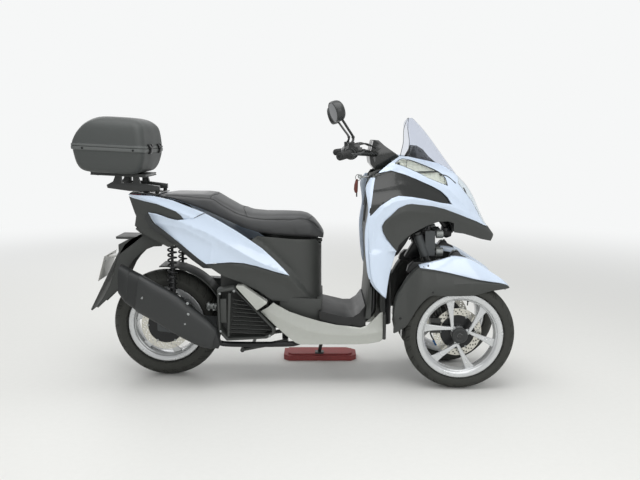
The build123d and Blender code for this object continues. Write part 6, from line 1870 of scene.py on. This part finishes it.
# ---- Small things of the tail and the floor -----------------------------------------------------------
@dataclass
class RearTrim:
    """Tail top, split lines, side plates of the mudguard, plate bolts and the floor's ribs."""

    ribs: int = 14
    rib: float = 5.0            # half a rib's width at its foot
    mat_half: int = 172

    def tail(self) -> None:
        """Dark cap over the tail and the seam between rail and panel."""
        cap = Shape()
        rows = []
        for x, half, z in ((-752, 58, 872), (-744, 64, 878), (-700, 92, 880), (-650, 112, 880),
                           (-604, 126, 876)):
            rows.append([(x, half * s, z + 4 * (1 - s * s)) for s in (-1, -0.8, -0.4, 0, 0.4, 0.8, 1)]
                        + [(x, half * s, z - 6) for s in (1, 0.4, -0.4, -1)])
        cap.loft(rows)
        cap.put("tail_top_cap", GLOSS_ABS, "chassis", ease=1.5)
        for side in (-1, 1):
            split = [(-440, 169.4 * side, 772), (-414, 171.6 * side, 785), (-388, 173.4 * side, 797)]
            tube(f"rail_split_{side + 1}", split, 1.4, BLACK_STEEL, sides=8)

    def underside(self) -> None:
        """Black strips under the side panels and the throttle body beside the frame."""
        strips = Shape()
        upper = ((-647, 797), (-634, 767), (-620, 745), (-573, 712), (-501, 656), (-440, 605), (-388, 566),
                 (-330, 566))
        lower = ((-664, 770), (-648, 742), (-628, 722), (-586, 692), (-518, 638), (-456, 584), (-404, 545),
                 (-330, 540))
        for side in (-1, 1):
            strips.loft([[(a[0], 166 * side, a[1]), (a[0], 160 * side, a[1]), (b[0], 150 * side, b[1]),
                          (b[0], 156 * side, b[1])] for a, b in zip(upper, lower)])
        strips.put("side_panel_under_strips", SHIELD_ABS, "chassis", ease=1.0)
        throttle = Shape().spun([(0, 15), (4, 18), (12, 18), (14, 14), (34, 14), (36, 19), (46, 19),
                                 (48, 12)],
                                (-352, -104, 352), (-1, 0, 0.15), 28)
        throttle.spun([(0, 8), (2, 12), (12, 12), (14, 8)], (-376, -112, 358), (0, -1, 0), 24)
        throttle.put("throttle_body", CAST_ALLOY, "chassis", ease=0.8)
        spots = [((-366 - 22 * (k % 2), -124, 368 - 24 * (k // 2)), (0, -1, 0)) for k in range(4)]
        bolts("throttle_bolts", spots, 3.4, BRIGHT_STEEL, "chassis")

    def mudguard(self) -> None:
        """Side plates that give the mudguard its depth, the tongue above the plate and the bolts."""
        plates = Shape()
        upper = ((-604, 666), (-660, 686), (-700, 684), (-745, 668), (-778, 640), (-800, 604), (-818, 560),
                 (-834, 500), (-858, 440), (-888, 388), (-920, 345))
        lower = ((-606, 632), (-645, 630), (-680, 616), (-712, 594), (-740, 566), (-762, 536), (-780, 500),
                 (-796, 462), (-822, 424), (-862, 388), (-912, 341))
        for low, high in ((-74, -70), (70, 74)):
            plates.loft([[(x, y, z) for x, z in (a, b)
                          for y in ((low, high) if (x, z) == a else (high, low))]
                         for a, b in zip(upper, lower)])
        plates.prism([(-817, 677), (-728, 675), (-700, 688), (-690, 678), (-730, 664), (-815, 666)], -74, 74)
        plates.put("mudguard_side_plates", DARK_ABS, "chassis", ease=1.5)
        places = [((-873, y, 560), (-1, 0, 0.4)) for y in (-60, 60)]
        bolts("plate_bolts", places, 4.0, BRIGHT_STEEL, "chassis")

    def floor(self) -> None:
        """Raised ribs of the floor mat, the rear riser and the skirts' front ends."""
        ribs = Shape()
        w = self.rib
        for k in range(self.ribs):
            y = -self.mat_half + k * 2 * self.mat_half / (self.ribs - 1)
            ribs.loft([[(x, y - w, z), (x, y - w * 0.6, z + 3), (x, y + w * 0.6, z + 3), (x, y + w, z)]
                       for x, z in ((150, 329), (233, 271), (276, 271), (303, 340))])
        ribs.put("floor_mat_ribs", MAT_BLACK, "chassis")
        riser = Shape().prism([(112, 332), (126, 332), (136, 400), (110, 400)], -150, 150)
        for low, high in ((-152, -146), (146, 152)):
            riser.prism([(-60, 318), (124, 296), (130, 400), (-60, 410)], low, high)
        riser.put("floor_rear_riser", DARK_ABS, "chassis", ease=2.0)
        ends = Shape()
        ends.loft([[(x, y, z) for y, z in ((146, 214), (168, 214), (170, 330), (146, 342))]
                   for x in (408, 424)])
        ends.both_sides()
        ends.put("skirt_front_ends", DARK_ABS, "chassis", ease=5.0, cuts=3)

    def build(self) -> None:
        """Make every small thing of the tail and the floor."""
        self.tail()
        self.underside()
        self.mudguard()
        self.floor()


# ---- Studio ---------------------------------------------------------------------------------------------
@dataclass
class Studio:
    """Pale floor, white surroundings, soft lamps and the camera."""

    eye: Point = (0.1232, -3.2788, 1.1383)      # metres
    dip: float = 8.47                           # degrees below level
    lens: float = 39.6
    world_light: float = 0.62
    reach: int = 16000                          # millimetres from the middle to the floor's edge
    sides: int = 64
    white: str = "#F6F7F7"
    #  name, place, what it looks at, size in metres, watts
    lamps: tuple = (("overhead", (0.0, -0.6, 3.6), (0, 0, 0.3), 3.4, 78.0),
                    ("front_right", (1.6, -3.4, 2.2), (0.2, 0, 0.6), 2.4, 36.0),
                    ("rear_left", (-1.8, 3.2, 2.4), (0, 0, 0.6), 2.4, 26.0))

    def floor(self) -> None:
        """Wide floor, pale by the object and white far off."""
        angles = [2 * math.pi * k / self.sides for k in range(self.sides)]
        shape = Shape()
        shape.points = [Vector((self.reach * math.cos(a), self.reach * math.sin(a), 0)) for a in angles]
        shape.faces = [list(range(self.sides))]
        piece = shape.build("studio_floor")
        material = bpy.data.materials.new("pale_studio_vinyl")
        material.use_nodes = True
        tree = material.node_tree
        tree.nodes.clear()
        coord = add(tree, "ShaderNodeTexCoord").outputs["Object"]
        away = add(tree, "ShaderNodeVectorMath", {0: coord}, operation="LENGTH")
        fade = add(tree, "ShaderNodeMapRange",
                   {"Value": away.outputs["Value"], "From Min": 1.6, "From Max": 6.5},
                   interpolation_type="SMOOTHSTEP")
        rays = add(tree, "ShaderNodeLightPath")
        seen = add(tree, "ShaderNodeMath",
                   {0: rays.outputs["Is Camera Ray"], 1: rays.outputs["Is Glossy Ray"]}, operation="MAXIMUM")
        share = add(tree, "ShaderNodeMath", {0: seen.outputs[0], 1: fade.outputs[0]}, operation="MULTIPLY")
        grain = add(tree, "ShaderNodeTexNoise", {"Vector": coord, "Scale": 40.0})
        tone = add(tree, "ShaderNodeMix",
                   {0: grain.outputs["Fac"], 6: linear("#E6E6E3"), 7: linear("#E2E2DF")}, data_type="RGBA")
        matt = add(tree, "ShaderNodeBsdfPrincipled", {"Base Color": tone.outputs[2], "Roughness": 0.6})
        white = add(tree, "ShaderNodeEmission", {"Color": linear(self.white), "Strength": 1.0})
        both = add(tree, "ShaderNodeMixShader",
                   {0: share.outputs[0], 1: matt.outputs[0], 2: white.outputs[0]})
        add(tree, "ShaderNodeOutputMaterial", {"Surface": both.outputs[0]})
        piece.data.materials.append(material)

    def world(self) -> None:
        """White to the camera and through glass, softer for the light that it gives."""
        world = bpy.data.worlds.new("studio_white")
        world.use_nodes = True
        tree = world.node_tree
        tree.nodes.clear()
        rays = add(tree, "ShaderNodeLightPath")
        seen = add(tree, "ShaderNodeMath",
                   {0: rays.outputs["Is Camera Ray"], 1: rays.outputs["Is Transmission Ray"]},
                   operation="MAXIMUM")
        strength = add(tree, "ShaderNodeMapRange", {"Value": seen.outputs[0], "To Min": self.world_light,
                                                    "To Max": 1.0})
        back = add(tree, "ShaderNodeBackground",
                   {"Color": linear(self.white), "Strength": strength.outputs[0]})
        add(tree, "ShaderNodeOutputWorld", {"Surface": back.outputs[0]})
        bpy.context.scene.world = world

    def lamp(self, name: str, place: Point, aim: Point, size: float, power: float) -> None:
        """Square soft lamp that looks at a point."""
        light = bpy.data.lights.new(name, "AREA")
        light.shape = "SQUARE"
        light.size = size
        light.energy = power
        lamp = bpy.data.objects.new(name, light)
        lamp.location = place
        lamp.rotation_euler = (Vector(aim) - Vector(place)).to_track_quat("-Z", "Y").to_euler()
        bpy.context.scene.collection.objects.link(lamp)

    def camera(self) -> None:
        """Camera square to the scooter's right side, a little above it."""
        data = bpy.data.cameras.new("view")
        data.lens = self.lens
        data.sensor_width = 36.0
        camera = bpy.data.objects.new("view", data)
        camera.location = self.eye
        camera.rotation_euler = (math.radians(90 - self.dip), 0, 0)
        bpy.context.scene.collection.objects.link(camera)
        bpy.context.scene.camera = camera

    def build(self) -> None:
        """Set the whole studio."""
        bpy.context.scene.view_settings.view_transform = "Standard"
        self.camera()
        self.floor()
        self.world()
        for lamp in self.lamps:
            self.lamp(*lamp)


# ---- The scooter -------------------------------------------------------------------------------------
NODE_FINISH = {
    PAINT: "side_panels grab_rails front_cowl leg_shield front_fender_left front_fender_right",
    SILVER: "floor_skirts",
    DARK_ABS: "radiator_cover rear_mudguard storage_bin seat_base_cover tail_cover cowl_side_panels "
              "front_undercowl instrument_panel inner_leg_shield lower_front_cover handlebar_cover",
    RUBBER: "floorboard grips",
    BOX_PP: "top_box_base top_box_lid",
    LENS: "headlamp position_lamps",
    TINTED: "windscreen",
    RED_LENS: "tail_lamp",
    ENAMEL: "frame luggage_carrier handlebar side_stand centre_stand fork_left fork_right brake_levers",
    CAST_ALLOY: "upper_arm lower_arm",
    CASE_ALLOY: "engine drive_case rear_arm side_link_left side_link_right",
    BRIGHT_STEEL: "rear_shocks rod_swivel track_rod",
    HEAT_BLACK: "exhaust",
    RED_STEEL: "stand_block",
    PLATE_WHITE: "number_plate",
    MIRROR_SHELL: "mirrors",
    VINYL: "seat",
}


def main() -> None:
    """Build the studio and the scooter's pieces in order."""
    logging.basicConfig(level=logging.INFO)
    Studio().build()
    for finish, nodes in NODE_FINISH.items():
        for node in nodes.split():
            paint_node(node, finish)
    front = dict(x=750.0, radius=249.8, width=90.0, bead=177.8, hub=34.0, hub_half=32.0, disc=110.0)
    Wheel("left", "front_wheel_left", y=192.5, disc_y=156.2, out=1, **front).build()
    Wheel("right", "front_wheel_right", y=-192.5, disc_y=-160.2, out=-1, **front).build()
    Fender("left", 1.0).build()
    Fender("right", -1.0).build()
    for panel in PANELS:
        panel.build()
    ShieldSkin().build()
    ShieldRim().build()
    TopBox().build()
    Seat().build()
    Shocks().build()
    Silencer().build()
    RadiatorCover().build()
    for side in (-1, 1):
        Mirror(side).build()
        Controls(side).build()
    CowlTrim().build()
    RearTrim().build()
    Wheel("rear", "rear_wheel", x=-600.0, y=0.0, radius=256.1, width=130.0, bead=165.1, hub=48.0,
          hub_half=62.0, disc=115.0, disc_y=-66.3, out=-1, spoke_out=34.0).build()


if __name__ == "__main__":
    main()
